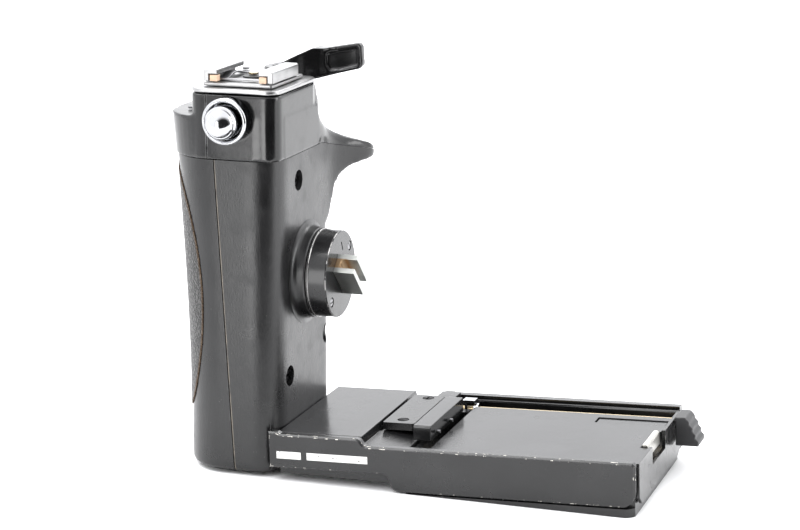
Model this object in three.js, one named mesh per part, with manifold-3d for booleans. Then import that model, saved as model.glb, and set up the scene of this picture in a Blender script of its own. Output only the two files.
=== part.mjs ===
// Camera speed grip: an upright hand grip with an accessory shoe, a wind lever, a shutter
// release and a camera drive coupling, joined to a tray that the camera body locks into.
// Millimetres, +Z up, +X from the grip towards the far end of the tray, +Y to the rear.
import * as THREE from "three";
import Module from "manifold-3d";

// ---------------------------------------------------------------- driving dimensions
const GAP = 0.3; // clearance between pieces that touch
const CENTRE = new THREE.Vector2(40.939, 25.85); // plan centre of the whole, moved to the origin

const FACE_X = 2; // inner face of the grip, towards the camera body
const GRIP_TOP = 93; // parting height between grip and top cover
const GRIP_LEFT = -34; // palm side at the top
const FOOT_EDGE = { height: 1.5, inset: 4 }; // rounded-under edge of the foot
const GRIP_BACK = 43.8;
const WALL = 2.6;
const WAIST = 0.885; // width of the grip low down, as a share of its width at the top
const WAIST_Z = 20;
const FRONT_LEAN = 3.2; // how far the front comes forward at the foot
const SEAM_TOP_X = -17.5; // seam between the two grip halves
const SEAM_FOOT_X = -11;

const SHOULDER_Z = 105.5;
const BLOCK = { x0: -25, x1: 2.4, y0: -1.4, y1: 31.6, z1: 112.4, r: 4 };
const CAP_SEAM_X = -19.3; // seam between palm cap and top cover

const SHOE = { x0: -21.6, x1: -0.1, y0: 2.3, y1: 22.4, z0: 114.2, z1: 118.9, gap: 12.7, wall: 1.7 };
const RELEASE = { x: -12.4, z: 104.8, collar: 6.8, bore: 5.2, dome: 4.15, lip: 6.3, reach: 12.6 };
const LEVER = { x: -10, y: 41, boss: 8.5, bossTop: 107, z0: 111.5, shaft: 2.2 };
const DRUM = { y: 23, z: 56.5, boss: 13.2, r: 12.4, x1: 6.3, x2: 12.5, shaft: 3 };
const DRIVE = { x: -13, y: 23, shaft: 2 };

const TILT = THREE.MathUtils.degToRad(2.2); // the tray rises towards its far end
const BASE_LIFT = 0.3;
const PLATE = { y0: -5, y1: -2.6, left: 3.4, right: -1.6, top: 13.7, rim: 11.6, end: 109.6 };
const BLOCK_TOP = 13.7;
const STEP_X = 29;
const TRAY = { x0: 48.2, x1: 108.9, y0: -2.2, y1: 45.4, floor: 10.4, back: 57 };
const ROD = { y: 48.8, w: 8.4, r: 1.1 };

// ---------------------------------------------------------------- finishes
const finish = (color, metalness, roughness) => ({ color, metalness, roughness });
const FINISH = {
  enamel: finish(0x121214, 0.1, 0.3),
  satin: finish(0x1c1c1e, 0.1, 0.45),
  leather: finish(0x2c2b2a, 0, 0.85),
  chrome: finish(0xd9dadc, 1, 0.15),
  alloy: finish(0xc3c3c0, 0.9, 0.35),
  zinc: finish(0x9a9b98, 0.9, 0.45),
  brass: finish(0xb08d4a, 1, 0.3),
  steel: finish(0x55565a, 0.9, 0.4),
  plastic: finish(0x19191a, 0, 0.55),
  beige: finish(0xcfc3ae, 0, 0.6),
};

// ---------------------------------------------------------------- solid modelling helpers
const wasm = await Module();
wasm.setup();

/** Turns a geometry into a manifold solid, joining vertices that share a position. */
function solid(geometry) {
  const position = geometry.getAttribute("position");
  const index = geometry.getIndex();
  const count = index ? index.count : position.count;
  const seen = new Map();
  const vertices = [];
  const corner = (i) => {
    const at = index ? index.getX(i) : i;
    const p = [position.getX(at), position.getY(at), position.getZ(at)];
    const key = p.map((v) => Math.round(v * 1e4)).join();
    if (!seen.has(key)) {
      seen.set(key, vertices.length / 3);
      vertices.push(...p);
    }
    return seen.get(key);
  };
  const triangles = [];
  for (let i = 0; i < count; i += 3) {
    const t = [corner(i), corner(i + 1), corner(i + 2)];
    if (t[0] !== t[1] && t[1] !== t[2] && t[2] !== t[0]) {
      triangles.push(...t);
    }
  }
  const mesh = new wasm.Mesh({
    numProp: 3,
    vertProperties: new Float32Array(vertices),
    triVerts: new Uint32Array(triangles),
  });
  return new wasm.Manifold(mesh);
}

/** Turns a manifold solid back into a geometry. */
function geometryOf(body) {
  const mesh = body.getMesh();
  const geometry = new THREE.BufferGeometry();
  geometry.setAttribute("position", new THREE.BufferAttribute(mesh.vertProperties, 3));
  geometry.setIndex(new THREE.BufferAttribute(mesh.triVerts, 1));
  geometry.computeVertexNormals();
  return geometry;
}

const cut = (body, ...tools) => tools.reduce((b, t) => b.subtract(t), body);
const join = (body, ...others) => others.reduce((b, o) => b.add(o), body);

const toShape = (points) => new THREE.Shape(points.map(([x, y]) => new THREE.Vector2(x, y)));

function extrude(shape, depth, steps = 1, curveSegments = 6) {
  return new THREE.ExtrudeGeometry(shape, { depth, steps, curveSegments, bevelEnabled: false });
}

/** Plan outline (x, y) raised from z0 to z1. */
function prismZ(outline, z0, z1, steps = 1) {
  const shape = Array.isArray(outline) ? toShape(outline) : outline;
  return extrude(shape, z1 - z0, steps).translate(0, 0, z0);
}

/** Front outline (x, z) carried from y0 back to y1. */
function prismY(outline, y0, y1) {
  const shape = Array.isArray(outline) ? toShape(outline) : outline;
  return extrude(shape, y1 - y0).rotateX(Math.PI / 2).translate(0, y1, 0);
}

/** Side outline (y, z) carried from x0 to x1. */
function prismX(outline, x0, x1) {
  const turn = new THREE.Matrix4().set(0, 0, 1, 0, 1, 0, 0, 0, 0, 1, 0, 0, 0, 0, 0, 1);
  const shape = Array.isArray(outline) ? toShape(outline) : outline;
  return extrude(shape, x1 - x0).applyMatrix4(turn).translate(x0, 0, 0);
}

function box(x0, x1, y0, y1, z0, z1) {
  const geometry = new THREE.BoxGeometry(x1 - x0, y1 - y0, z1 - z0);
  return geometry.translate((x0 + x1) / 2, (y0 + y1) / 2, (z0 + z1) / 2);
}

function rodZ(r, x, y, z0, z1, segments = 24) {
  const geometry = new THREE.CylinderGeometry(r, r, z1 - z0, segments).rotateX(Math.PI / 2);
  return geometry.translate(x, y, (z0 + z1) / 2);
}

function rodY(r, x, z, y0, y1, segments = 24) {
  return new THREE.CylinderGeometry(r, r, y1 - y0, segments).translate(x, (y0 + y1) / 2, z);
}

function rodX(r, y, z, x0, x1, segments = 24) {
  const geometry = new THREE.CylinderGeometry(r, r, x1 - x0, segments).rotateZ(Math.PI / 2);
  return geometry.translate((x0 + x1) / 2, y, z);
}

/** Turned piece: profile of (radius, distance) pairs about an axis through `at`. */
function turned(profile, axis, at, segments = 32) {
  const points = profile.map(([r, d]) => new THREE.Vector2(r, d));
  if (THREE.ShapeUtils.area(points) < 0) {
    points.reverse();
  }
  const geometry = new THREE.LatheGeometry(points, segments);
  if (axis === "x") {
    geometry.rotateZ(-Math.PI / 2);
  }
  if (axis === "z") {
    geometry.rotateX(Math.PI / 2);
  }
  return geometry.translate(at[0], at[1], at[2]);
}

/** Rectangle with rounded corners as a shape. */
function roundedRect(x0, x1, y0, y1, r) {
  const shape = new THREE.Shape();
  shape.moveTo(x0 + r, y0);
  shape.lineTo(x1 - r, y0);
  shape.absarc(x1 - r, y0 + r, r, -Math.PI / 2, 0, false);
  shape.lineTo(x1, y1 - r);
  shape.absarc(x1 - r, y1 - r, r, 0, Math.PI / 2, false);
  shape.lineTo(x0 + r, y1);
  shape.absarc(x0 + r, y1 - r, r, Math.PI / 2, Math.PI, false);
  shape.lineTo(x0, y0 + r);
  shape.absarc(x0 + r, y0 + r, r, Math.PI, Math.PI * 1.5, false);
  return shape;
}

/** Moves every vertex of a geometry through a function of its position. */
function reshape(geometry, move) {
  const position = geometry.getAttribute("position");
  const p = new THREE.Vector3();
  for (let i = 0; i < position.count; i += 1) {
    p.fromBufferAttribute(position, i);
    move(p);
    position.setXYZ(i, p.x, p.y, p.z);
  }
  return geometry;
}

/** Puts a tray piece, drawn level, at the tray's slight rise. */
const raised = (geometry) => geometry.rotateY(-TILT).translate(0, 0, BASE_LIFT);

const parts = new THREE.Group();

function add(name, shape, finishName) {
  const geometry = shape instanceof THREE.BufferGeometry ? shape : geometryOf(shape);
  const mesh = new THREE.Mesh(geometry, new THREE.MeshStandardMaterial(FINISH[finishName]));
  mesh.name = name;
  geometry.translate(-CENTRE.x, -CENTRE.y, 0);
  parts.add(mesh);
}

// ---------------------------------------------------------------- grip column
/** Plan section of the grip, grown outwards by `grow`: flat inner face, full palm side. */
function gripSection(grow) {
  const right = FACE_X + grow;
  const left = GRIP_LEFT - grow;
  const front = -1 - grow;
  const back = GRIP_BACK + grow;
  const shape = new THREE.Shape();
  shape.moveTo(right, 5);
  shape.lineTo(right, 37);
  shape.bezierCurveTo(right, 41, -1 + grow, back, -6, back);
  shape.lineTo(-17, back);
  shape.bezierCurveTo(-26 - grow, back, left, 36 + grow, left, 27);
  shape.lineTo(left, 15);
  shape.bezierCurveTo(left, 6 - grow, -27 - grow, front, -18, front);
  shape.lineTo(-5, front);
  shape.bezierCurveTo(-1 + grow, front, right, 1 - grow * 0.6, right, 5);
  return shape;
}

/** Narrows the grip to its waist and brings its front forward towards the foot. */
function sculpt(p) {
  const rise = Math.max(0, p.z - WAIST_Z) / (GRIP_TOP - WAIST_Z);
  const width = WAIST + (1 - WAIST) * rise ** 1.6;
  const forward = Math.max(0, (GRIP_BACK - p.y) / GRIP_BACK);
  p.x = FACE_X + (p.x - FACE_X) * width;
  p.y -= FRONT_LEAN * forward * (1 - p.z / GRIP_TOP);
}

function gripColumn(grow, z0, z1) {
  return solid(reshape(prismZ(gripSection(grow), z0, z1, 8), sculpt));
}

/** The grip's foot, tucked in towards the table. */
function gripFoot() {
  const mid = new THREE.Vector2((FACE_X + GRIP_LEFT) / 2, GRIP_BACK / 2);
  const half = new THREE.Vector2((FACE_X - GRIP_LEFT) / 2, GRIP_BACK / 2 + 1);
  const foot = prismZ(gripSection(0), 0, FOOT_EDGE.height + 0.01);
  return solid(
    reshape(foot, (p) => {
      sculpt(p);
      if (p.z < 0.1) {
        p.x = mid.x + (p.x - mid.x) * (1 - FOOT_EDGE.inset / half.x);
        p.y = mid.y + (p.y - mid.y) * (1 - FOOT_EDGE.inset / half.y);
      }
    }),
  );
}

const seamAt = (z) => SEAM_FOOT_X + ((SEAM_TOP_X - SEAM_FOOT_X) * z) / GRIP_TOP;

/** Everything on one side of the slanted seam plane: side is 1 for the inner half. */
function seamSide(side) {
  const far = side > 0 ? 40 : -60;
  const edge = [
    [seamAt(-5) + (side * GAP) / 2, -5],
    [seamAt(120) + (side * GAP) / 2, 120],
  ];
  const outline = [...edge, [far, 120], [far, -5]];
  return solid(prismY(side > 0 ? outline.reverse() : outline, -30, 90));
}

// The thumb rest: a wing swept up behind the grip and towards the camera body.
const REST_SIDE = [
  [24, 112], [31.4, 112], [31.6, 108], [33.2, 103], [36.9, 98.9], [40.4, 96.9], [44, 95.4],
  [49, 93.6], [54.5, 91.4], [60, 89.4], [62.6, 88.1], [64.2, 86.5], [63.8, 85.6], [61.5, 85.2],
  [57, 84.8], [52.4, 83.8], [49, 82.4], [46.4, 80.2], [44.6, 77.4], [43.4, 73.5], [41, 68], [24, 66],
];
const REST_PLAN = [
  [FACE_X, 24], [FACE_X, 38], [2.2, 43], [3.2, 47], [5.4, 51.4], [8, 55.6], [9.5, 59],
  [9.2, 61.9], [7.4, 63.6], [4.6, 64.1], [-1, 62.6], [-8, 59], [-15, 53.8], [-21, 48],
  [-26, 41], [-28, 34], [-28, 24],
];
const REST_PARTING = [[36, GRIP_TOP + GAP], [66, 86.4]];

const thumbRest = solid(prismX(REST_SIDE, -60, 40)).intersect(solid(prismZ(REST_PLAN, 60, 115)));

/** Region above (or below) the parting line between the grip and its top cover. */
function partingSide(above) {
  const [a, b] = REST_PARTING;
  const drop = above ? 0 : GAP;
  const edge = [[-40, a[1] - drop], [a[0], a[1] - drop], [b[0] + 10, b[1] - 2.2 - drop]];
  const outline = above ? [...edge, [76, 140], [-40, 140]] : [...edge.reverse(), [-40, -20], [76, -20]];
  return solid(prismX(outline, -60, 60));
}

const cavity = gripColumn(-WALL, 3, GRIP_TOP + 5);
const drumBore = solid(rodX(DRUM.shaft + 1.2, DRUM.y, DRUM.z, -10, 20));
const plateNotch = solid(box(-0.7, 10, -12, -1.9, -1, 16.2));
const baseNotch = solid(box(FACE_X + 0.2, 20, -10, 60, -1, 20));

const HOLES = [
  { y: 16.3, z: 85.3, name: "top" },
  { y: 38.2, z: 33.8, name: "mid" },
  { y: 7.9, z: 28.2, name: "low" },
];
const HOLE_R = 3.1;
const holeBores = HOLES.map(({ y, z }) => solid(rodX(HOLE_R, y, z, -0.8, 10, 20)));

const gripBody = join(gripColumn(0, FOOT_EDGE.height, GRIP_TOP), gripFoot());
const bearing = cut(
  solid(box(-17, 0, 17.5, 29, 43, 46)),
  solid(rodZ(DRIVE.shaft + 0.2, DRIVE.x, DRIVE.y, 44, 50)),
);
const innerHalf = join(
  cut(join(gripBody, thumbRest).intersect(partingSide(false)), cavity),
  bearing,
).intersect(seamSide(1));
add("inner_housing", cut(innerHalf, drumBore, plateNotch, baseNotch, ...holeBores), "satin");

// Leatherette panel let into the palm side: a lens-shaped outline with a shallow seat.
const PANEL_TOP = 91;
const PANEL_FOOT = 17.5;
const PANEL_REACH = -21.3; // furthest the panel comes round the front
const panelEdge = (z, grow) => {
  const t = (z - PANEL_FOOT) / (PANEL_TOP - PANEL_FOOT);
  const bulge = Math.sin(Math.PI * t ** 0.8) ** 0.72;
  const corner = THREE.MathUtils.lerp(-28.6, -34, t);
  return corner + (PANEL_REACH - corner) * bulge + grow;
};

function panelOutline(grow) {
  const edge = [];
  for (let i = 0; i <= 16; i += 1) {
    const t = (1 - Math.cos((Math.PI * i) / 16)) / 2;
    const z = PANEL_FOOT - grow + t * (PANEL_TOP - PANEL_FOOT + 2 * grow);
    edge.push([panelEdge(THREE.MathUtils.clamp(z, PANEL_FOOT, PANEL_TOP), grow), z]);
  }
  const far = -60;
  return solid(prismY([...edge, [far, PANEL_TOP + grow], [far, PANEL_FOOT - grow]], -30, 90));
}

const seat = cut(gripColumn(3, 0, GRIP_TOP), gripColumn(-0.9, -1, GRIP_TOP + 1));
const outerHalf = cut(gripBody, cavity).intersect(seamSide(-1)).intersect(partingSide(false));
add("outer_housing", cut(outerHalf, seat.intersect(panelOutline(GAP))), "satin");
const pad = cut(gripColumn(0.25, 0, GRIP_TOP), gripColumn(-0.6, -1, GRIP_TOP + 1));
add("palm_panel", pad.intersect(panelOutline(0)), "leather");

// ---------------------------------------------------------------- top cover
const bandBlank = prismZ(gripSection(0.5), GRIP_TOP + GAP, SHOULDER_Z, 2);
const band = solid(
  reshape(bandBlank, (p) => {
    const rise = (p.z - GRIP_TOP) / (SHOULDER_Z - GRIP_TOP);
    p.x -= rise * Math.max(0, (-8 - p.x) / 26);
  }),
);
const blockOutline = roundedRect(BLOCK.x0, BLOCK.x1, BLOCK.y0, BLOCK.y1, BLOCK.r);
const block = solid(prismZ(blockOutline, GRIP_TOP + GAP, BLOCK.z1));
const leverBoss = solid(rodZ(LEVER.boss, LEVER.x, LEVER.y, 88, LEVER.bossTop, 32));
const coverHollow = solid(prismZ(gripSection(-WALL), GRIP_TOP - 1, 102.4));
const gearPocket = solid(rodZ(7, LEVER.x, LEVER.y, 92, 101.5, 28));
const leverBore = solid(rodZ(LEVER.shaft + 0.2, LEVER.x, LEVER.y, 100, 110));
const driveBore = solid(rodZ(DRIVE.shaft + 0.2, DRIVE.x, DRIVE.y, 100, 106));
const releaseBore = solid(rodY(RELEASE.bore, RELEASE.x, RELEASE.z, -10, 9.5, 28));

const backCut = solid(prismX([[31.6, 103.2], [80, 103.2], [80, 120], [31.6, 120]], -60, 60));
const shell = cut(join(cut(join(band, thumbRest), backCut), block, leverBoss), coverHollow)
  .intersect(partingSide(true));
const cover = cut(shell, gearPocket, leverBore, driveBore, releaseBore);
const capSide = (x0, x1) => solid(box(x0, x1, -30, 90, 0, 140));
add("top_cover", cover.intersect(capSide(CAP_SEAM_X + GAP / 2, 60)), "enamel");
add("palm_cap", cover.intersect(capSide(-60, CAP_SEAM_X - GAP / 2)), "enamel");
add("shoulder_pin", rodZ(1.1, -29.2, 11, SHOULDER_Z + GAP, SHOULDER_Z + 0.9, 16), "steel");

const rimOutline = roundedRect(BLOCK.x0 + 0.1, BLOCK.x1 + 0.2, BLOCK.y0 - 0.2, BLOCK.y1 - 0.1, BLOCK.r);
add("rim_plate", prismZ(rimOutline, BLOCK.z1 + GAP, SHOE.z0 - GAP), "alloy");

// ---------------------------------------------------------------- accessory shoe
const shoeMid = (SHOE.x0 + SHOE.x1) / 2;
const shoePlan = roundedRect(SHOE.x0, SHOE.x1, SHOE.y0 - 0.4, SHOE.y1 + 4, 0.8);
add("shoe_base", prismZ(shoePlan, SHOE.z0, 115.1), "alloy");
for (const [i, side] of [-1, 1].entries()) {
  const outer = shoeMid + (side * (SHOE.x1 - SHOE.x0)) / 2;
  const web = outer - side * SHOE.wall;
  const lip = shoeMid + (side * SHOE.gap) / 2;
  const outline = [
    [outer, 115.1 + GAP], [outer, SHOE.z1 - 0.4], [outer - side * 0.4, SHOE.z1], [lip, SHOE.z1],
    [lip, 117.5], [web, 117.5], [web, 115.1 + GAP],
  ];
  add(`shoe_rail_${i}`, prismY(side > 0 ? outline : outline.reverse(), SHOE.y0, SHOE.y1), "alloy");
  const stop = [web - side * GAP, lip + side * 0.1].sort((a, b) => a - b);
  add(`shoe_stop_${i}`, box(...stop, SHOE.y0 + 0.1, SHOE.y0 + 2.3, 115.1 + GAP, 117.2), "beige");
}
const SPRING = [
  [5.5, 115.5], [8, 115.5], [12.5, 116.5], [15.5, 116.5], [20, 115.5], [24.6, 115.5], [24.6, 115.9],
  [20.2, 115.9], [15.7, 116.9], [12.3, 116.9], [7.8, 115.9], [5.5, 115.9],
];
const springBlank = solid(prismX(SPRING, shoeMid - 8, shoeMid + 8));
const springWindow = solid(box(shoeMid - 5.2, shoeMid + 5.2, 7.5, 20.6, 110, 120));
add("shoe_spring", cut(springBlank, springWindow), "steel");
add("shoe_insulator", rodZ(3.2, shoeMid, 14, 115.1 + GAP, 115.9, 24), "plastic");
add("shoe_contact", rodZ(1.4, shoeMid, 14, 116.2, 116.8, 16), "brass");
for (const [i, x] of [shoeMid - 6.4, shoeMid + 6.4].entries()) {
  const head = solid(rodZ(1.1, x, 23.9, 116.2, 116.8, 16));
  add(`shoe_screw_${i}`, cut(head, solid(box(x - 0.2, x + 0.2, 20, 28, 116.5, 118))), "steel");
}

// ---------------------------------------------------------------- shutter release
const collarFront = BLOCK.y0 - RELEASE.lip + 1;
add(
  "release_collar",
  turned(
    [
      [RELEASE.bore, BLOCK.y0 - GAP], [RELEASE.bore, collarFront + 0.5],
      [RELEASE.bore + 0.5, collarFront], [RELEASE.collar - 0.6, collarFront],
      [RELEASE.collar, collarFront + 0.6], [RELEASE.collar, BLOCK.y0 - GAP],
      [RELEASE.bore, BLOCK.y0 - GAP],
    ],
    "y",
    [RELEASE.x, 0, RELEASE.z],
  ),
  "chrome",
);
const tip = BLOCK.y0 - RELEASE.reach + 1.6;
const dome = [];
for (let i = 0; i <= 6; i += 1) {
  const a = (Math.PI / 2) * (i / 6);
  dome.push([RELEASE.dome * Math.sin(a), tip + 2.6 * (1 - Math.cos(a))]);
}
add(
  "release_button",
  turned(
    [
      ...dome, [RELEASE.dome, 1.5], [RELEASE.bore - 0.3, 1.5], [RELEASE.bore - 0.3, 2.6],
      [1.6, 2.6], [1.6, 5.2], [0, 5.2],
    ],
    "y",
    [RELEASE.x, 0, RELEASE.z],
  ),
  "chrome",
);
const sleeve = [[2, 5.5], [3.6, 5.5], [3.6, 9.2], [2, 9.2], [2, 5.5]];
add("release_spring", turned(sleeve, "y", [RELEASE.x, 0, RELEASE.z], 20), "steel");

// ---------------------------------------------------------------- wind lever and its train
const GEAR_Z = [95, 98.6];
const TOOTH = 1.2;

/** Spur gear with trapezoid teeth about an upright axis. */
function gear(teeth, tipR, x, y) {
  const points = [];
  const rootR = tipR - TOOTH;
  for (let i = 0; i < teeth; i += 1) {
    for (const [share, r] of [[-0.28, rootR], [-0.14, tipR], [0.14, tipR], [0.28, rootR]]) {
      const a = ((i + share) / teeth) * Math.PI * 2;
      points.push([x + r * Math.cos(a), y + r * Math.sin(a)]);
    }
  }
  return solid(prismZ(points, ...GEAR_Z));
}

const LEVER_FRONT = [
  [-19, LEVER.z0], [-4, LEVER.z0], [-0.4, 112], [6.6, 113.9], [13.2, 115.6], [14.2, 116.8],
  [13.8, 122.3], [12.9, 123.3], [1.6, 121.2], [-1.7, 121.2], [-8.6, 117.8], [-12.4, 115.2],
  [-19, 115.2],
];
const LEVER_PLAN = [
  [-3.6, 36.2], [0.6, 38], [6.2, 38.8], [14.5, 37.8], [14.6, 40.6], [6.6, 41.8], [1.4, 43.2],
  [-3.6, 45.8],
];
const leverHub = Array.from({ length: 18 }, (_, i) => {
  const a = Math.PI * (0.21 + (1.58 * i) / 17);
  return [LEVER.x + 8 * Math.cos(a), LEVER.y + 8 * Math.sin(a)];
});
const leverPlan = solid(prismZ([...LEVER_PLAN, ...leverHub], 100, 130));
const leverBlank = solid(prismY(LEVER_FRONT, 20, 60)).intersect(leverPlan);
const DISH = [[3.4, 114.6], [6.9, 114.9], [12.6, 116.5], [12.5, 121.9], [2.6, 119.8], [2.4, 116.4]];
const thumbDish = solid(prismY(DISH, 30, 39.3));
const capSeat = solid(rodZ(5.2, LEVER.x, LEVER.y, 114.1, 125, 28));
add("lever_arm", cut(leverBlank, thumbDish, capSeat), "enamel");
const leverCap = [[0, 114.4], [4.8, 114.4], [4.8, 115.5], [4.2, 116], [0, 116.2]];
add("lever_cap", turned(leverCap, "z", [LEVER.x, LEVER.y, 0], 28), "steel");
const collarZ = [LEVER.bossTop + GAP, LEVER.z0 - GAP];
add("lever_collar", rodZ(7.2, LEVER.x, LEVER.y, ...collarZ, 28), "steel");
const LEVER_GEAR = { teeth: 12, r: 6.4 };
const DRIVE_GEAR = { teeth: 22, r: 11.3 };
add(
  "lever_shaft",
  join(
    solid(rodZ(LEVER.shaft, LEVER.x, LEVER.y, 95, LEVER.bossTop, 20)),
    gear(LEVER_GEAR.teeth, LEVER_GEAR.r, LEVER.x, LEVER.y),
  ),
  "steel",
);
const bevelProfile = [[0, 61], [3.8, 61], [6.8, 64], [5.6, 65.6], [3.4, 66.4], [0, 66.4]];
add(
  "drive_shaft",
  join(
    solid(rodZ(DRIVE.shaft, DRIVE.x, DRIVE.y, 44.6, 104.6, 20)),
    gear(DRIVE_GEAR.teeth, DRIVE_GEAR.r, DRIVE.x, DRIVE.y),
    solid(turned(bevelProfile, "z", [DRIVE.x, DRIVE.y, 0], 28)),
  ),
  "steel",
);

// ---------------------------------------------------------------- camera drive coupling
const bossProfile = [
  [DRUM.shaft + 1.2, FACE_X + GAP], [DRUM.boss, FACE_X + GAP], [DRUM.boss, DRUM.x1 - 0.7],
  [DRUM.boss - 0.7, DRUM.x1], [DRUM.shaft + 1.2, DRUM.x1], [DRUM.shaft + 1.2, FACE_X + GAP],
];
add("coupling_boss", turned(bossProfile, "x", [0, DRUM.y, DRUM.z], 48), "satin");
const drumProfile = [
  [0, DRUM.x1 + GAP], [DRUM.r + 0.3, DRUM.x1 + GAP], [DRUM.r + 0.3, 7.1], [DRUM.r, 7.3],
  [DRUM.r, 12], [DRUM.r - 0.5, DRUM.x2], [0, DRUM.x2],
];
const drumBody = turned(drumProfile, "x", [0, DRUM.y, DRUM.z], 48);
const pinionProfile = [
  [0, -10.4], [3.8, -9.4], [6.8, -6.2], [5.4, -4.8], [DRUM.shaft, -4.2], [DRUM.shaft, 7], [0, 7],
];
const drumShaft = turned(pinionProfile, "x", [0, DRUM.y, DRUM.z], 24);
const DRUM_SCREWS = [[7.6, 7], [-7.6, -7]];
const drumScrews = [1, -1].map((side) => [DRUM.y + side * 7.6, DRUM.z + side * 7]);
const drumWells = drumScrews.map(([y, z]) => solid(rodX(1.5, y, z, 11.7, 14, 16)));
add("coupling_drum", cut(join(solid(drumBody), solid(drumShaft)), ...drumWells), "enamel");
for (const [i, [y, z]] of drumScrews.entries()) {
  const head = solid(rodX(1.2, y, z, 12, 12.5, 16));
  add(`drum_screw_${i}`, cut(head, solid(box(12.3, 13, y - 2, y + 2, z - 0.2, z + 0.2))), "steel");
}
// Grooved dog that turns the camera's wind shaft: a bar with a round-bottomed groove.
const DOG = { half: 6, width: 6.4, height: 6, groove: 1.5 };
const dogOutline = new THREE.Shape();
dogOutline.moveTo(-DOG.width / 2, 0);
dogOutline.lineTo(DOG.width / 2, 0);
dogOutline.lineTo(DOG.width / 2, DOG.height);
dogOutline.lineTo(DOG.groove, DOG.height);
dogOutline.lineTo(DOG.groove, DOG.groove + 1.2);
dogOutline.absarc(0, DOG.groove + 1.2, DOG.groove, 0, Math.PI, true);
dogOutline.lineTo(-DOG.groove, DOG.height);
dogOutline.lineTo(-DOG.width / 2, DOG.height);
const dog = extrude(dogOutline, DOG.half * 2, 1, 8)
  .translate(0, 0, -DOG.half)
  .applyMatrix4(new THREE.Matrix4().set(0, 1, 0, 0, 1, 0, 0, 0, 0, 0, -1, 0, 0, 0, 0, 1))
  .rotateX(-Math.PI / 4 + Math.PI / 2)
  .translate(DRUM.x2 + GAP, DRUM.y, DRUM.z);
add("coupling_dog", dog, "zinc");

for (const { y, z, name } of HOLES) {
  const head = solid(rodX(HOLE_R - GAP, y, z, -0.5, 0.7, 20));
  const across = name === "mid" ? 0.3 : 2;
  const along = 2.3 - across;
  const slot = solid(box(0.2, 3, y - across, y + across, z - along, z + along));
  add(`housing_screw_${name}`, cut(head, slot), "steel");
}

// ---------------------------------------------------------------- front plate and tray
const frontOutline = new THREE.Shape();
frontOutline.moveTo(0.3, PLATE.left);
frontOutline.lineTo(35.2, PLATE.left);
frontOutline.bezierCurveTo(37.6, PLATE.left, 36.6, PLATE.right + 1.6, 38.4, PLATE.right + 0.6);
frontOutline.bezierCurveTo(39.2, PLATE.right, 40.2, PLATE.right, 41.6, PLATE.right);
frontOutline.lineTo(PLATE.end - 3.4, PLATE.right);
frontOutline.bezierCurveTo(PLATE.end - 1, PLATE.right, PLATE.end, -0.4, PLATE.end, 2);
frontOutline.lineTo(PLATE.end, PLATE.rim - 0.8);
frontOutline.lineTo(PLATE.end - 0.8, PLATE.rim);
frontOutline.lineTo(STEP_X + 1.6, PLATE.rim);
frontOutline.bezierCurveTo(STEP_X, PLATE.rim, STEP_X + 0.4, PLATE.top, STEP_X - 1.6, PLATE.top);
frontOutline.lineTo(4.2, PLATE.top);
frontOutline.lineTo(3.2, PLATE.top + 0.6);
frontOutline.lineTo(0.3, PLATE.top + 0.6);
const frontPlate = new THREE.ExtrudeGeometry(frontOutline, {
  depth: PLATE.y1 - PLATE.y0 - 0.5,
  bevelEnabled: true,
  bevelThickness: 0.5,
  bevelSize: 0.5,
  bevelOffset: -0.5,
  bevelSegments: 1,
  curveSegments: 6,
});
const trimBack = solid(box(-5, 120, PLATE.y1, 10, -20, 40));
const frontSolid = solid(frontPlate.rotateX(Math.PI / 2).translate(0, PLATE.y1, 0));
add("front_plate", raised(geometryOf(cut(frontSolid, trimBack))), "enamel");

/** Everything above the level table plane. */
const aboveTable = (x0, x1) => solid(box(x0, x1, -20, 80, 0, 60));
const tilted = (geometry) => solid(raised(geometry));

// Left half of the base: a stepped block whose foot is level with the grip's.
const stepOutline = [
  [FACE_X + GAP + 0.4, 1.3], [37, 0.2], [37, 6], [41.5, 6], [41.5, 10], [STEP_X, 11.4],
  [STEP_X - 0.6, BLOCK_TOP], [FACE_X + GAP + 0.4, BLOCK_TOP],
];
const baseBlock = cut(
  tilted(prismY(stepOutline, PLATE.y1 + GAP, 47.8)),
  tilted(box(STEP_X - 0.3, STEP_X + 0.5, 12, 60, 10.2, 20)),
  tilted(box(36.6, 50, 43.5, 60, -10, 20)),
);
add("base_block", baseBlock.intersect(aboveTable(-20, 60)), "satin");

const barTop = 13.9;
const bar = cut(
  solid(prismZ(roundedRect(STEP_X + 0.8, 39.4, 12.6, 43, 0.6), 11.7, barTop)),
  ...[16.3, 40].map((y) => solid(rodZ(1.75, 34.9, y, 13, 15, 20))),
);
add("screw_bar", raised(geometryOf(bar)), "enamel");
for (const [i, y] of [16.3, 40].entries()) {
  const head = solid(rodZ(1.45, 34.9, y, 13.3, barTop, 20));
  const slotted = cut(head, solid(box(30, 40, y - 0.22, y + 0.22, 13.6, 15)));
  add(`bar_screw_${i}`, raised(geometryOf(slotted)), "steel");
}
const stripSection = [[6, 10.3], [34.2, 10.3], [34.2, 14.2], [33.6, 14.6], [6.6, 14.6], [6, 14.2]];
add("locating_strip", raised(prismX(stripSection, 41.9, 46.4)), "enamel");
for (const [i, y] of [11.5, 23.5].entries()) {
  add(`contact_pin_${i}`, raised(rodX(0.55, y, 12.4, 46.4 + GAP, 47.9, 12)), "brass");
}

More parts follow.
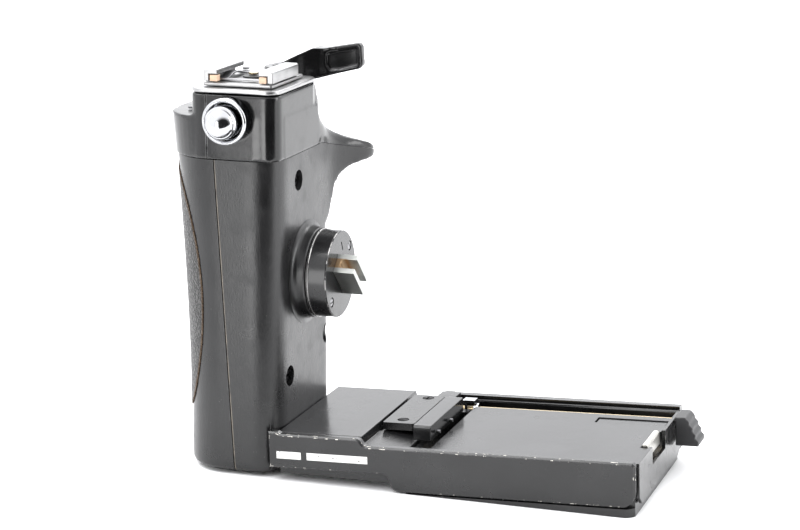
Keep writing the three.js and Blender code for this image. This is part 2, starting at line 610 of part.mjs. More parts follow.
// Tray: a shallow pan with a level foot, a floor plate, a rear rail and an end wall.
const PAN_IN = 5.2; // inside bottom of the pan
const panSection = [
  [PLATE.y1 + GAP, PAN_IN + 4], [PLATE.y1 + GAP, PLATE.right - GAP],
  [PLATE.y0 + 0.4, PLATE.right - GAP], [PLATE.y0 + 0.4, -6], [52.8, -6], [52.8, PAN_IN + 4],
];
const panBlock = cut(
  tilted(prismX(panSection, 37.3, 108.9)),
  tilted(box(44, 105, 1, 43, PAN_IN - 3, 20)),
  tilted(box(40.6, 120, 46, 60, PAN_IN - 1, 20)),
  tilted(box(46.4, 120, 43, 60, PAN_IN - 1, 20)),
  tilted(box(95, 120, 13.6, 60, PAN_IN - 1, 20)),
  tilted(box(30, 41.9, -10, 43.8, -10, 20)),
  tilted(box(30, 46.3, 34.6, 60, 9.4, 20)),
);
const socketWell = solid(rodZ(7.2, 76, 24, -1, 4.2, 28));
add("tray_pan", cut(panBlock, socketWell).intersect(aboveTable(30, 120)), "satin");
const socket = turned([[3.2, 0.3], [6.8, 0.3], [6.8, 3.2], [3.2, 3.2], [3.2, 0.3]], "y", [0, 0, 0], 28);
add("tripod_socket", socket.rotateX(Math.PI / 2).translate(76, 24, 0), "brass");

const catchSlot = { x0: 106.6, y0: 14.2, y1: 30.8 };
const slideSlot = { x0: 87.6, y0: 36.6, y1: 42 };
const floorPlate = cut(
  solid(prismZ(roundedRect(TRAY.x0, TRAY.x1, TRAY.y0, TRAY.y1, 0.5), 9.5, TRAY.floor)),
  solid(box(catchSlot.x0, 120, catchSlot.y0, catchSlot.y1, 0, 20)),
  solid(box(slideSlot.x0, 120, slideSlot.y0, slideSlot.y1, 0, 20)),
);
add("tray_floor", raised(geometryOf(floorPlate)), "satin");
const slideY = [slideSlot.y0 + GAP, slideSlot.y1 - GAP];
add("slide_cover", raised(box(slideSlot.x0 + GAP, 108.6, ...slideY, 9.4, 10.1)), "satin");

const railOutline = [
  [53.1, -1.4], [TRAY.back, -1.4], [TRAY.back, PLATE.rim - 0.7], [TRAY.back - 0.7, PLATE.rim],
  [53.6, PLATE.rim], [53.6, PLATE.rim - 1.2], [53.1, PLATE.rim - 1.8],
];
add("rear_rail", raised(prismX(railOutline, 37.4, PLATE.end)), "enamel");

const endSection = [
  [PLATE.y1 + GAP, 1], [1, -1.6], [48, -1.6], [52.8, 0.6], [52.8, 10.9], [PLATE.y1 + GAP, 10.9],
];
const endWall = cut(
  solid(prismX(endSection, 109.2, 110.2)),
  solid(box(105, 120, catchSlot.y0, catchSlot.y1, 5.6, 20)),
  solid(rodX(1.5, ROD.y, ROD.w, 100, 120, 20)),
);
add("end_wall", raised(geometryOf(endWall)), "enamel");

// ---------------------------------------------------------------- camera lock
add("lock_rod", raised(rodX(ROD.r, ROD.y, ROD.w, 41.4, 110.4, 16)), "brass");
const knobSide = [
  [110.7, 3], [117.6, 3], [117.6, 4.4], [116.6, 5.4], [116.8, 6.4], [115.8, 7.4], [115.9, 8.4],
  [114.9, 9.4], [114.8, 10.4], [113.6, 11.7], [110.7, 11.7],
];
add("lock_knob", raised(prismY(knobSide, 42, 51)), "plastic");
const rodRing = [[1.3, 0], [2.1, 0], [2.1, 1.5], [1.3, 1.5], [1.3, 0]];
add("lock_collar", raised(turned(rodRing, "x", [46.8, ROD.y, ROD.w], 20)), "chrome");
const hookSide = [
  [41.2, 9.8], [43.2, 9.8], [43.2, 12.4], [45.4, 12.4], [45.4, 13.3], [42, 13.3], [41.2, 12.4],
];
add("lock_hook", raised(prismY(hookSide, ROD.y - 1.6, ROD.y + 1.6)), "chrome");
const linkPlan = [
  [96, 40], [96, 50.4], [100, 50.4], [100, 44], [102.4, 40], [102.4, 29.6], [105.2, 29.6], [105.2, 15.4],
  [102, 15.4], [99, 30],
];
add("lock_link", raised(prismZ(linkPlan, 5, 6.8)), "steel");
const catchSide = [
  [107, 7.1], [108.8, 7.1], [108.8, 10.5], [108.2, 11.1], [107, 11.1],
];
add("lock_catch", raised(prismY(catchSide, 15, 30)), "alloy");

export default parts;
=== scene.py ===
"""Looks of a camera speed grip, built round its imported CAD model.

Sizes are millimetres in the drawing frame of the CAD source: the grip's inner face stands at
X 2, the tray runs towards +X and the rear is +Y. A finished piece is moved to the row frame,
in metres, as its last step.
"""

import logging
import math
from dataclasses import dataclass
from enum import Enum
from typing import Any, Callable, Iterable, Optional, Sequence, Union

import bmesh
import bpy
import numpy as np
from mathutils import Matrix, Vector


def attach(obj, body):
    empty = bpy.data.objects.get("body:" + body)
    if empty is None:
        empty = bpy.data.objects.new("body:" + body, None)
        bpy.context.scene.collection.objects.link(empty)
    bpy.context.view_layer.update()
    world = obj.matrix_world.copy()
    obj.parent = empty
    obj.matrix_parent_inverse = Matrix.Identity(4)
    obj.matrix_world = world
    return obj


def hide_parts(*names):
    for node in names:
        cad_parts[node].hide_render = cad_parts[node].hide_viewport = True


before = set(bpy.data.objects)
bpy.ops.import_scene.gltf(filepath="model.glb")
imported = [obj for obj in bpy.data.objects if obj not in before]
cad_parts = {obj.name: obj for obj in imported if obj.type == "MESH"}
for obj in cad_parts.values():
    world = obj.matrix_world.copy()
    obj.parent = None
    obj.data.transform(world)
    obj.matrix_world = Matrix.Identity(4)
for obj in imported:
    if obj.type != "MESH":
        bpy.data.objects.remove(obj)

LOG = logging.getLogger("speed_grip")
MM = 0.001
PLAN_CENTRE = np.array([40.939, 25.85, 0.0])
GAP = 0.3
TRAY_TILT = math.radians(2.2)
TRAY_LIFT = 0.3

Outline = Sequence[tuple[float, float]]
Colour = tuple[float, float, float]
Number = Union["Field", float]


class Body(str, Enum):
    """The CAD bodies that pieces ride on."""

    GRIP = "grip_and_tray"
    LEVER = "wind_lever"
    COUPLING = "coupling"
    RELEASE = "release"
    LOCK = "lock"


class Axis(Enum):
    """Direction that an outline is carried along, as (outline a, outline b, travel) indices."""

    X = (1, 2, 0)
    Y = (0, 2, 1)
    Z = (0, 1, 2)


# ------------------------------------------------------------------ node expressions
class Field:
    """A node socket that takes part in Python expressions."""

    def __init__(self, net: "Net", socket: bpy.types.NodeSocket) -> None:
        """Wraps a socket of a net."""
        self.net = net
        self.socket = socket

    def __add__(self, other: Number) -> "Field":
        """Sum."""
        return self.net.math("ADD", self, other)

    def __radd__(self, other: Number) -> "Field":
        """Sum, reflected."""
        return self.net.math("ADD", other, self)

    def __sub__(self, other: Number) -> "Field":
        """Difference."""
        return self.net.math("SUBTRACT", self, other)

    def __rsub__(self, other: Number) -> "Field":
        """Difference, reflected."""
        return self.net.math("SUBTRACT", other, self)

    def __mul__(self, other: Number) -> "Field":
        """Product."""
        return self.net.math("MULTIPLY", self, other)

    def __rmul__(self, other: Number) -> "Field":
        """Product, reflected."""
        return self.net.math("MULTIPLY", other, self)

    def __truediv__(self, other: Number) -> "Field":
        """Quotient."""
        return self.net.math("DIVIDE", self, other)

    def __pow__(self, other: Number) -> "Field":
        """Power."""
        return self.net.math("POWER", self, other)

    def __abs__(self) -> "Field":
        """Size without sign."""
        return self.net.math("ABSOLUTE", self)

    def at_least(self, other: Number) -> "Field":
        """The larger of the two."""
        return self.net.math("MAXIMUM", self, other)

    def ramp(self, low: float, high: float) -> "Field":
        """Smooth step from 0 at low to 1 at high, or the other way round when low is larger.

        Args:
            low: Value that gives 0.
            high: Value that gives 1.

        Returns:
            The step, from 0 to 1.
        """
        if low > high:
            return 1 - self.ramp(high, low)
        node = self.net.node(
            "ShaderNodeMapRange",
            {"interpolation_type": "SMOOTHSTEP"},
            {"Value": self, "From Min": low, "From Max": high},
        )
        return Field(self.net, node.outputs[0])


class Net:
    """A node tree under construction."""

    def __init__(self, tree: bpy.types.NodeTree) -> None:
        """Starts on an empty tree."""
        self.tree = tree
        tree.nodes.clear()

    def node(
        self,
        kind: str,
        settings: Optional[dict[str, Any]] = None,
        values: Optional[dict[Union[str, int], Any]] = None,
    ) -> bpy.types.Node:
        """Adds one node.

        Args:
            kind: Blender's name of the node type.
            settings: the node's own properties, set before its sockets.
            values: constants or fields for its input sockets, by name or number.

        Returns:
            The node.
        """
        node = self.tree.nodes.new(kind)
        for key, value in (settings or {}).items():
            setattr(node, key, value)
        for key, value in (values or {}).items():
            if isinstance(value, Field):
                self.tree.links.new(value.socket, node.inputs[key])
            else:
                node.inputs[key].default_value = value
        return node

    def field(
        self,
        kind: str,
        settings: Optional[dict[str, Any]] = None,
        values: Optional[dict[Union[str, int], Any]] = None,
        output: Union[str, int] = 0,
    ) -> Field:
        """Adds one node and returns one of its outputs."""
        return Field(self, self.node(kind, settings, values).outputs[output])

    def math(self, operation: str, *terms: Number) -> Field:
        """Adds one Math node over its terms."""
        return self.field("ShaderNodeMath", {"operation": operation}, dict(enumerate(terms)))

    def vector(self, operation: str, *terms: Any, output: str = "Vector") -> Field:
        """Adds one Vector Math node over its terms."""
        settings = {"operation": operation}
        return self.field("ShaderNodeVectorMath", settings, dict(enumerate(terms)), output)

    def parts(self, vector: Field) -> tuple[Field, Field, Field]:
        """The three components of a vector."""
        node = self.node("ShaderNodeSeparateXYZ", None, {0: vector})
        return tuple(Field(self, socket) for socket in node.outputs)

    def combine(self, x: Number, y: Number, z: Number) -> Field:
        """A vector from its components."""
        return self.field("ShaderNodeCombineXYZ", None, {0: x, 1: y, 2: z})


class Paint(Net):
    """A material's tree, with the places and patterns that the finishes share."""

    def __init__(self, name: str) -> None:
        """Starts a material.

        Args:
            name: the material's name.
        """
        self.material = bpy.data.materials.new(name)
        self.material.use_nodes = True
        super().__init__(self.material.node_tree)
        place = self.field("ShaderNodeTexCoord", output="Object")
        scaled = self.vector("SCALE", place)
        scaled.socket.node.inputs["Scale"].default_value = 1 / MM
        self.place = self.vector("ADD", scaled, tuple(PLAN_CENTRE))
        self.x, self.y, self.z = self.parts(self.place)

    def noise(
        self, size: float, detail: float = 2.0, stretch: Colour = (1.0, 1.0, 1.0)
    ) -> Field:
        """Noise from 0 to 1.

        Args:
            size: width of its features in millimetres.
            detail: octaves of finer noise.
            stretch: how much finer the noise is along each axis.

        Returns:
            The noise.
        """
        scale = tuple(s / size for s in stretch)
        at = self.vector("MULTIPLY", self.place, scale)
        values = {"Vector": at, "Scale": 1.0, "Detail": detail}
        return self.field("ShaderNodeTexNoise", None, values)

    def cells(self, size: float, feature: str, wander: float = 0.0) -> Field:
        """Voronoi distance over cells of a size in millimetres, pushed about by wander.

        Args:
            size: Width of a cell in millimetres.
            feature: Voronoi feature to measure.
            wander: How far noise pushes the cells about.

        Returns:
            The distance.
        """
        at = self.vector("MULTIPLY", self.place, (1 / size,) * 3)
        if wander:
            values = {"Vector": at, "Scale": 1.3, "Detail": 2.0}
            push = self.field("ShaderNodeTexNoise", None, values, "Color")
            step = self.vector("MULTIPLY", push, (wander,) * 3)
            at = self.vector("ADD", at, step)
        values = {"Vector": at, "Scale": 1.0}
        return self.field("ShaderNodeTexVoronoi", {"feature": feature}, values, "Distance")

    def attribute(self, name: str) -> Field:
        """A number stored on the mesh."""
        return self.field("ShaderNodeAttribute", {"attribute_name": name}, output="Fac")

    def mix(self, factor: Field, first: Any, second: Any) -> Field:
        """Colour that goes from first to second.

        Args:
            factor: 0 for the first colour and 1 for the second.
            first: Colour or link.
            second: Colour or link.

        Returns:
            The mixed colour.
        """
        colours = [c if isinstance(c, Field) else (*c, 1.0) for c in (first, second)]
        values = {0: factor, 6: colours[0], 7: colours[1]}
        return self.field("ShaderNodeMix", {"data_type": "RGBA"}, values, 2)

    def blend(self, factor: Field, first: Number, second: Number) -> Field:
        """Number that goes from first to second."""
        return factor * second + (1 - factor) * first

    def bump(self, height: Field, depth: float, under: Optional[Field] = None) -> Field:
        """Normal of a relief.

        Args:
            height: relief from 0 to 1.
            depth: its full height in millimetres.
            under: a normal that it is laid on.

        Returns:
            The bumped normal.
        """
        values = {"Strength": 1.0, "Distance": depth * MM, "Height": height}
        if under is not None:
            values["Normal"] = under
        return self.field("ShaderNodeBump", None, values)

    def surface(
        self,
        colour: Any,
        roughness: Number,
        metallic: Number = 0.0,
        normal: Optional[Field] = None,
        fixed: Optional[dict[str, float]] = None,
    ) -> bpy.types.Material:
        """Closes the material with a Principled surface.

        Args:
            colour: base colour.
            roughness: roughness.
            metallic: metallic share.
            normal: bumped normal.
            fixed: constants for other sockets.

        Returns:
            The material.
        """
        values = {"Base Color": colour, "Roughness": roughness, "Metallic": metallic}
        values.update(fixed or {})
        if normal is not None:
            values["Normal"] = normal
        shader = self.field("ShaderNodeBsdfPrincipled", None, values)
        self.node("ShaderNodeOutputMaterial", None, {"Surface": shader})
        return self.material


# ------------------------------------------------------------------ finishes
@dataclass(frozen=True)
class Enamel:
    """Black stoving enamel over cast alloy.

    Attributes:
        name: the material's name.
        slot: the record's material slot; not used.
        tint: depth of the black.
        roughness: roughness of the sound paint.
        peel: height of the paint's texture in millimetres.
        peel_size: width of the texture's features in millimetres.
        wear: share of the broken edges that shows bare metal.
        dust: share of fine pale specks.
        draw: how much finer the texture is along each axis.
    """

    name: str
    slot: str = "gloss_enamel"
    tint: float = 0.005
    roughness: float = 0.2
    peel: float = 0.012
    peel_size: float = 1.1
    wear: float = 0.4
    dust: float = 0.5
    draw: Colour = (1.0, 1.0, 1.0)

    def marks(self, paint: Paint) -> Optional[tuple[Field, Colour, float, float]]:
        """Anything laid on the paint: (mask, colour, roughness, metallic)."""
        return None

    def material(self) -> bpy.types.Material:
        """Builds the finish as a material."""
        paint = Paint(self.name)
        cloud = paint.noise(16, 4).ramp(0.3, 0.7)
        rub = paint.noise(5, 5).ramp(0.45, 0.8)
        deep = (self.tint, self.tint, self.tint * 1.06)
        thin = (self.tint * 2.1, self.tint * 2.1, self.tint * 2.2)
        colour = paint.mix(cloud, deep, thin)
        speck = paint.cells(1.4, "F1", 0.5).ramp(0.11, 0.05) * paint.noise(3, 2).ramp(0.52, 0.7)
        colour = paint.mix(speck * self.dust, colour, (0.16, 0.155, 0.15))
        edge = paint.attribute("edge")
        start = 0.8 - 0.25 * self.wear
        chip = edge * paint.noise(1.5, 5).ramp(start, start + 0.05)
        # Lighter grey along the broken edges: partly worn paint, partly a painted sheen where the rounded
        # edges catch the light.
        rubbed_and_sheen = edge * paint.noise(7, 3).ramp(0.35, 0.75) * 0.5
        colour = paint.mix(rubbed_and_sheen, colour, (0.06, 0.06, 0.06))
        colour = paint.mix(chip, colour, (0.5, 0.48, 0.44))
        roughness = self.roughness + 0.07 * cloud + 0.1 * rub + 0.15 * chip
        metallic = chip
        marks = self.marks(paint)
        if marks:
            mask, mark_colour, mark_roughness, mark_metallic = marks
            colour = paint.mix(mask, colour, mark_colour)
            roughness = paint.blend(mask, roughness, mark_roughness)
            metallic = paint.blend(mask, metallic, mark_metallic)
        fine = paint.noise(self.peel_size, 3, self.draw)
        broad = paint.noise(self.peel_size * 5, 2)
        normal = paint.bump(fine * 0.8 + broad * 0.6 - chip * 0.8, self.peel)
        return paint.surface(colour, roughness, metallic, normal, {"IOR": 1.5})


@dataclass(frozen=True)
class CastEnamel(Enamel):
    """Enamel of the cast halves, with a lighter line along the slanted seam: partly paint worn through,
    partly a painted highlight on the seam's edge.
    """

    foot: float = -11.0
    top: float = -17.5
    height: float = 93.0

    def marks(self, paint: Paint) -> Optional[tuple[Field, Colour, float, float]]:
        """Lighter line along the seam: partly worn paint, partly a painted highlight.

        Args:
            paint: Material under construction.

        Returns:
            Mask of the line, its colour, roughness and metallic value.
        """
        seam = paint.z * ((self.top - self.foot) / self.height) + self.foot
        step = paint.x - seam
        near = step.ramp(0.05, 0.15) * step.ramp(0.5, 0.35) * paint.y.ramp(6.0, 3.0)
        # Beige line along the inner half's edge at the seam: partly worn paint, partly a painted
        # highlight.
        mask = near * paint.noise(6, 4).ramp(0.3, 0.62)
        return mask, (0.15, 0.13, 0.105), 0.4, 0.3


@dataclass(frozen=True)
class CoverEnamel(Enamel):
    """Enamel of the top cover, with a lighter grey line along the joint with its cap."""

    seam: float = -19.3

    def marks(self, paint: Paint) -> Optional[tuple[Field, Colour, float, float]]:
        """Lighter grey line along the joint."""
        mask = abs(paint.x - self.seam).ramp(0.36, 0.22) * paint.noise(5, 4).ramp(0.25, 0.6)
        return mask * 0.8, (0.2, 0.2, 0.2), 0.35, 0.3


@dataclass(frozen=True)
class PlateEnamel(Enamel):
    """Enamel of the front plate, with two plain white bars filled in."""

    bars: tuple[tuple[float, float], ...] = ((2.8, 10.5), (12.2, 31.0))
    bar_band: tuple[float, float] = (6.6, 8.9)

    def marks(self, paint: Paint) -> Optional[tuple[Field, Colour, float, float]]:
        """White bars along the plate's left half.

        Args:
            paint: Material under construction.

        Returns:
            Mask of the bars, their colour, roughness and metallic value.
        """
        along = paint.x * math.cos(TRAY_TILT) + paint.z * math.sin(TRAY_TILT)
        up = paint.z * math.cos(TRAY_TILT) - paint.x * math.sin(TRAY_TILT)
        low, high = self.bar_band
        band = up.ramp(low, low + 0.12) * up.ramp(high, high - 0.12)
        lengths = [
            along.ramp(start, start + 0.12) * along.ramp(end, end - 0.12)
            for start, end in self.bars
        ]
        front = paint.y.ramp(-4.5, -4.8)
        worn = paint.noise(0.8, 4).ramp(0.72, 0.62)
        mask = band * (lengths[0] + lengths[1]) * front * worn
        return mask, (0.78, 0.78, 0.76), 0.45, 0.0


@dataclass(frozen=True)
class DrumEnamel(Enamel):
    """Enamel of the coupling drum, with painted highlights as bright lines along its rims, and an index
    cut in its face.
    """

    joint: float = 6.85
    centre: tuple[float, float] = (23.0, 56.5)

    def marks(self, paint: Paint) -> Optional[tuple[Field, Colour, float, float]]:
        """Painted highlights: bright lines at the joint with the boss, and along the rim of the face.

        Args:
            paint: Material under construction.

        Returns:
            Mask of the lines, their colour, roughness and metallic value.
        """
        # Painted highlights, drawn as thin bright metal lines at the joint and round the face's rim.
        line = abs(paint.x - self.joint).ramp(0.12, 0.05) + abs(paint.x - 6.35).ramp(0.1, 0.05)
        rubbed_and_sheen = paint.noise(2.4, 4).ramp(0.3, 0.5)
        across = paint.y - self.centre[0]
        up = paint.z - self.centre[1]
        radius = (across * across + up * up) ** 0.5
        rim = radius.ramp(12.72, 12.82) * paint.x.ramp(12.15, 12.3)
        mask = (line * rubbed_and_sheen + rim * paint.noise(3, 4).ramp(0.48, 0.56)).ramp(0.0, 1.0)
        return mask * 0.8, (0.42, 0.41, 0.4), 0.3, 1.0


@dataclass(frozen=True)
class Leatherette:
    """Pebbled leather cloth with its cut edge left brown."""

    name: str
    slot: str = "leatherette"
    grain: float = 1.25

    def material(self) -> bpy.types.Material:
        """Builds the finish as a material."""
        paint = Paint(self.name)
        crease = paint.cells(self.grain, "DISTANCE_TO_EDGE", 0.9).ramp(0.02, 0.26)
        small = paint.cells(self.grain * 0.42, "DISTANCE_TO_EDGE", 0.8).ramp(0.0, 0.3)
        cloud = paint.noise(9, 4)
        body = paint.mix(cloud, (0.006, 0.006, 0.006), (0.02, 0.019, 0.018))
        # Lighter pebble tops, with the creases left darker: partly wear on the tops, partly a painted
        # highlight on the tops and painted shade in the creases.
        worn = crease * paint.noise(14, 3).ramp(0.42, 0.75)
        body = paint.mix(worn * 0.5, body, (0.085, 0.082, 0.078))
        rim = paint.attribute("rim")
        body = paint.mix(rim, body, (0.16, 0.1, 0.055))
        roughness = 0.55 - 0.2 * crease + 0.2 * rim
        relief = crease * 0.75 + small * 0.25
        normal = paint.bump(relief, 0.3)
        fixed = {"Sheen Weight": 0.15, "Sheen Roughness": 0.5, "Specular IOR Level": 0.4}
        return paint.surface(body, roughness, 0.0, normal, fixed)


@dataclass(frozen=True)
class Metal:
    """Bare or plated metal.

    Attributes:
        name: the material's name.
        slot: the record's material slot; not used.
        colour: its colour.
        roughness: its roughness.
        grain: stretch of the brushed grain along each axis.
        grain_depth: height of the grain in millimetres.
        tarnish: share of dull, darker patches.
    """

    name: str
    slot: str
    colour: Colour
    roughness: float
    grain: Colour = (1.0, 1.0, 1.0)
    grain_depth: float = 0.002
    tarnish: float = 0.3

    def tone(self, paint: Paint, colour: Field) -> Field:
        """A change to the metal's colour; none on plain metal."""
        return colour

    def material(self) -> bpy.types.Material:
        """Builds the finish as a material."""
        paint = Paint(self.name)
        patch = paint.noise(3.5, 5).ramp(0.4, 0.75) * self.tarnish
        dull = tuple(c * 0.45 for c in self.colour)
        colour = self.tone(paint, paint.mix(patch, self.colour, dull))
        brushed = paint.noise(0.5, 3, self.grain)
        edge = paint.attribute("edge")
        roughness = self.roughness + 0.2 * patch + 0.12 * (brushed - 0.5) - 0.05 * edge
        normal = paint.bump(brushed, self.grain_depth)
        return paint.surface(colour, roughness, 1.0, normal)


@dataclass(frozen=True)
class GroovedZinc(Metal):
    """Die-cast zinc with a brass-coloured groove."""

    centre: tuple[float, float] = (23.0, 56.5)

    def tone(self, paint: Paint, colour: Field) -> Field:
        """Brass tone down in the groove.

        Args:
            paint: Material under construction.
            colour: Tone of the bare metal.

        Returns:
            The tone with the groove in it.
        """
        across = (paint.y - self.centre[0]) * 0.7071 + (paint.z - self.centre[1]) * 0.7071
        inside = abs(across).ramp(1.75, 1.45) * paint.x.ramp(16.6, 15.2)
        return paint.mix(inside * 0.85, colour, (0.36, 0.22, 0.1))


@dataclass(frozen=True)
class Moulded:
    """Moulded plastic."""

    name: str
    slot: str
    colour: Colour
    roughness: float = 0.5
    grain: float = 0.35

    def material(self) -> bpy.types.Material:
        """Builds the finish as a material."""
        paint = Paint(self.name)
        cloud = paint.noise(5, 4)
        light = tuple(min(1.0, c * 1.5 + 0.004) for c in self.colour)
        colour = paint.mix(cloud, self.colour, light)
        edge = paint.attribute("edge") * paint.noise(1.4, 3).ramp(0.4, 0.65)
        worn = tuple(min(1.0, c * 1.4 + 0.03) for c in self.colour)
        colour = paint.mix(edge * 0.6, colour, worn)
        normal = paint.bump(paint.noise(self.grain, 3), 0.012)
        return paint.surface(colour, self.roughness + 0.1 * cloud, 0.0, normal)


class Finish(Enum):
    """The finishes of the object's own pieces."""

    HOUSING = CastEnamel(
        "housing_satin", "satin_enamel", 0.005, 0.26, 0.05, 0.7, 0.2, 0.6, (1.5, 1.5, 0.6)
    )
    COVER = CoverEnamel("cover_gloss", "gloss_enamel", 0.004, 0.13, 0.02, 1.6, 0.2, 0.35)
    LEVER = Enamel("lever_gloss", "gloss_enamel", 0.004, 0.16, 0.01, 1.2, 0.4, 0.3)
    TRAY = Enamel("tray_satin", "satin_enamel", 0.007, 0.15, 0.002, 0.5, 0.3, 0.3)
    RAIL = Enamel("rail_enamel", "gloss_enamel", 0.005, 0.2, 0.008, 0.8, 0.85, 0.4)
    PLATE = PlateEnamel("plate_enamel", "gloss_enamel", 0.006, 0.2, 0.006, 0.8, 0.88, 0.4)
    DRUM = DrumEnamel("drum_enamel", "gloss_enamel", 0.005, 0.18, 0.006, 1.0, 0.4, 0.3)
    LEATHER = Leatherette("palm_leatherette")
    CHROME = Metal("bright_chrome", "chrome", (0.5, 0.505, 0.52), 0.12, tarnish=0.1)
    ALLOY = Metal(
        "shoe_alloy", "bright_alloy", (0.36, 0.36, 0.36), 0.34, (3.0, 0.12, 3.0), 0.004, 0.2
    )
    ZINC = GroovedZinc(
        "dog_zinc", "zinc", (0.46, 0.47, 0.45), 0.42, (1.0, 1.0, 1.0), 0.01, 0.15
    )
    BRASS = Metal("rod_brass", "brass", (0.46, 0.37, 0.23), 0.25, (0.1, 2.0, 2.0), 0.004, 0.3)
    STEEL = Metal("dark_steel", "steel", (0.16, 0.16, 0.165), 0.35, tarnish=0.5)
    # Near-black steel: partly blackened screws, partly painted shade, so the screws sunk in the grip's
    # holes look as dark as the holes.
    BLACKED_AND_SHADE = Metal("blacked_steel_and_shade", "steel", (0.012, 0.012, 0.013), 0.5, tarnish=0.5)
    SPRING = Metal("spring_steel", "steel", (0.3, 0.3, 0.31), 0.35, tarnish=0.3)
    CATCH = Metal("catch_plating", "chrome", (0.45, 0.44, 0.41), 0.3, tarnish=0.4)
    KNOB = Moulded("knob_plastic", "black_plastic", (0.014, 0.014, 0.015), 0.48)
    PAD = Moulded("pad_plastic", "beige_plastic", (0.66, 0.46, 0.32), 0.5)


class Palette:
    """Materials of the finishes, each built once."""

    def __init__(self) -> None:
        """Starts with no material built."""
        self._made: dict[Finish, bpy.types.Material] = {}

    def material(self, finish: Finish) -> bpy.types.Material:
        """The material of a finish."""
        if finish not in self._made:
            self._made[finish] = finish.value.material()
        return self._made[finish]

    def dress(self, node: str, finish: Finish) -> None:
        """Gives a CAD node that stays in view its material.

        Args:
            node: Name of the CAD node.
            finish: Finish it is given.
        """
        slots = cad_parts[node].material_slots
        for slot in slots:
            slot.material = self.material(finish)
        if not slots:
            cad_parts[node].data.materials.append(self.material(finish))
        LOG.info("dressed %s in %s", node, finish.value.name)


# ------------------------------------------------------------------ bodies being worked
def bezier(p0: tuple, p1: tuple, p2: tuple, p3: tuple, steps: int = 14) -> list:
    """Points of a cubic curve, without its first.

    Args:
        p0: Start of the curve.
        p1: Handle at the start.
        p2: Handle at the end.
        p3: End of the curve.
        steps: Number of points.

    Returns:
        The points after the start, in order.
    """
    a, b, c, d = (np.array(p, float) for p in (p0, p1, p2, p3))
    found = []
    for i in range(1, steps + 1):
        t = i / steps
        s = 1 - t
        found.append(tuple(s**3 * a + 3 * s * s * t * b + 3 * s * t * t * c + t**3 * d))
    return found


def rounded_rect(x0: float, x1: float, y0: float, y1: float, r: float, steps: int = 12) -> list:
    """Outline of a rectangle with round corners.

    Args:
        x0: Low side.
        x1: High side.
        y0: Front.
        y1: Rear.
        r: Radius of the corners.
        steps: Steps round one corner.

    Returns:
        The closed outline.
    """
    centres = ((x1 - r, y0 + r, -90), (x1 - r, y1 - r, 0), (x0 + r, y1 - r, 90), (x0 + r, y0 + r, 180))
    found = []
    for cx, cy, start in centres:
        for i in range(steps + 1):
            a = math.radians(start + 90 * i / steps)
            found.append((cx + r * math.cos(a), cy + r * math.sin(a)))
    return found


def eased(outline: Outline, rounds: int = 2) -> list:
    """A closed outline with its corners cut back into curves.

    Args:
        outline: Closed outline.
        rounds: How many times its corners are cut back.

    Returns:
        The eased outline.
    """
    points = [np.array(p, float) for p in outline]
    for _ in range(rounds):
        cut = []
        for here, there in zip(points, points[1:] + points[:1]):
            cut += [here * 0.75 + there * 0.25, here * 0.25 + there * 0.75]
        points = cut
    return [tuple(p) for p in points]


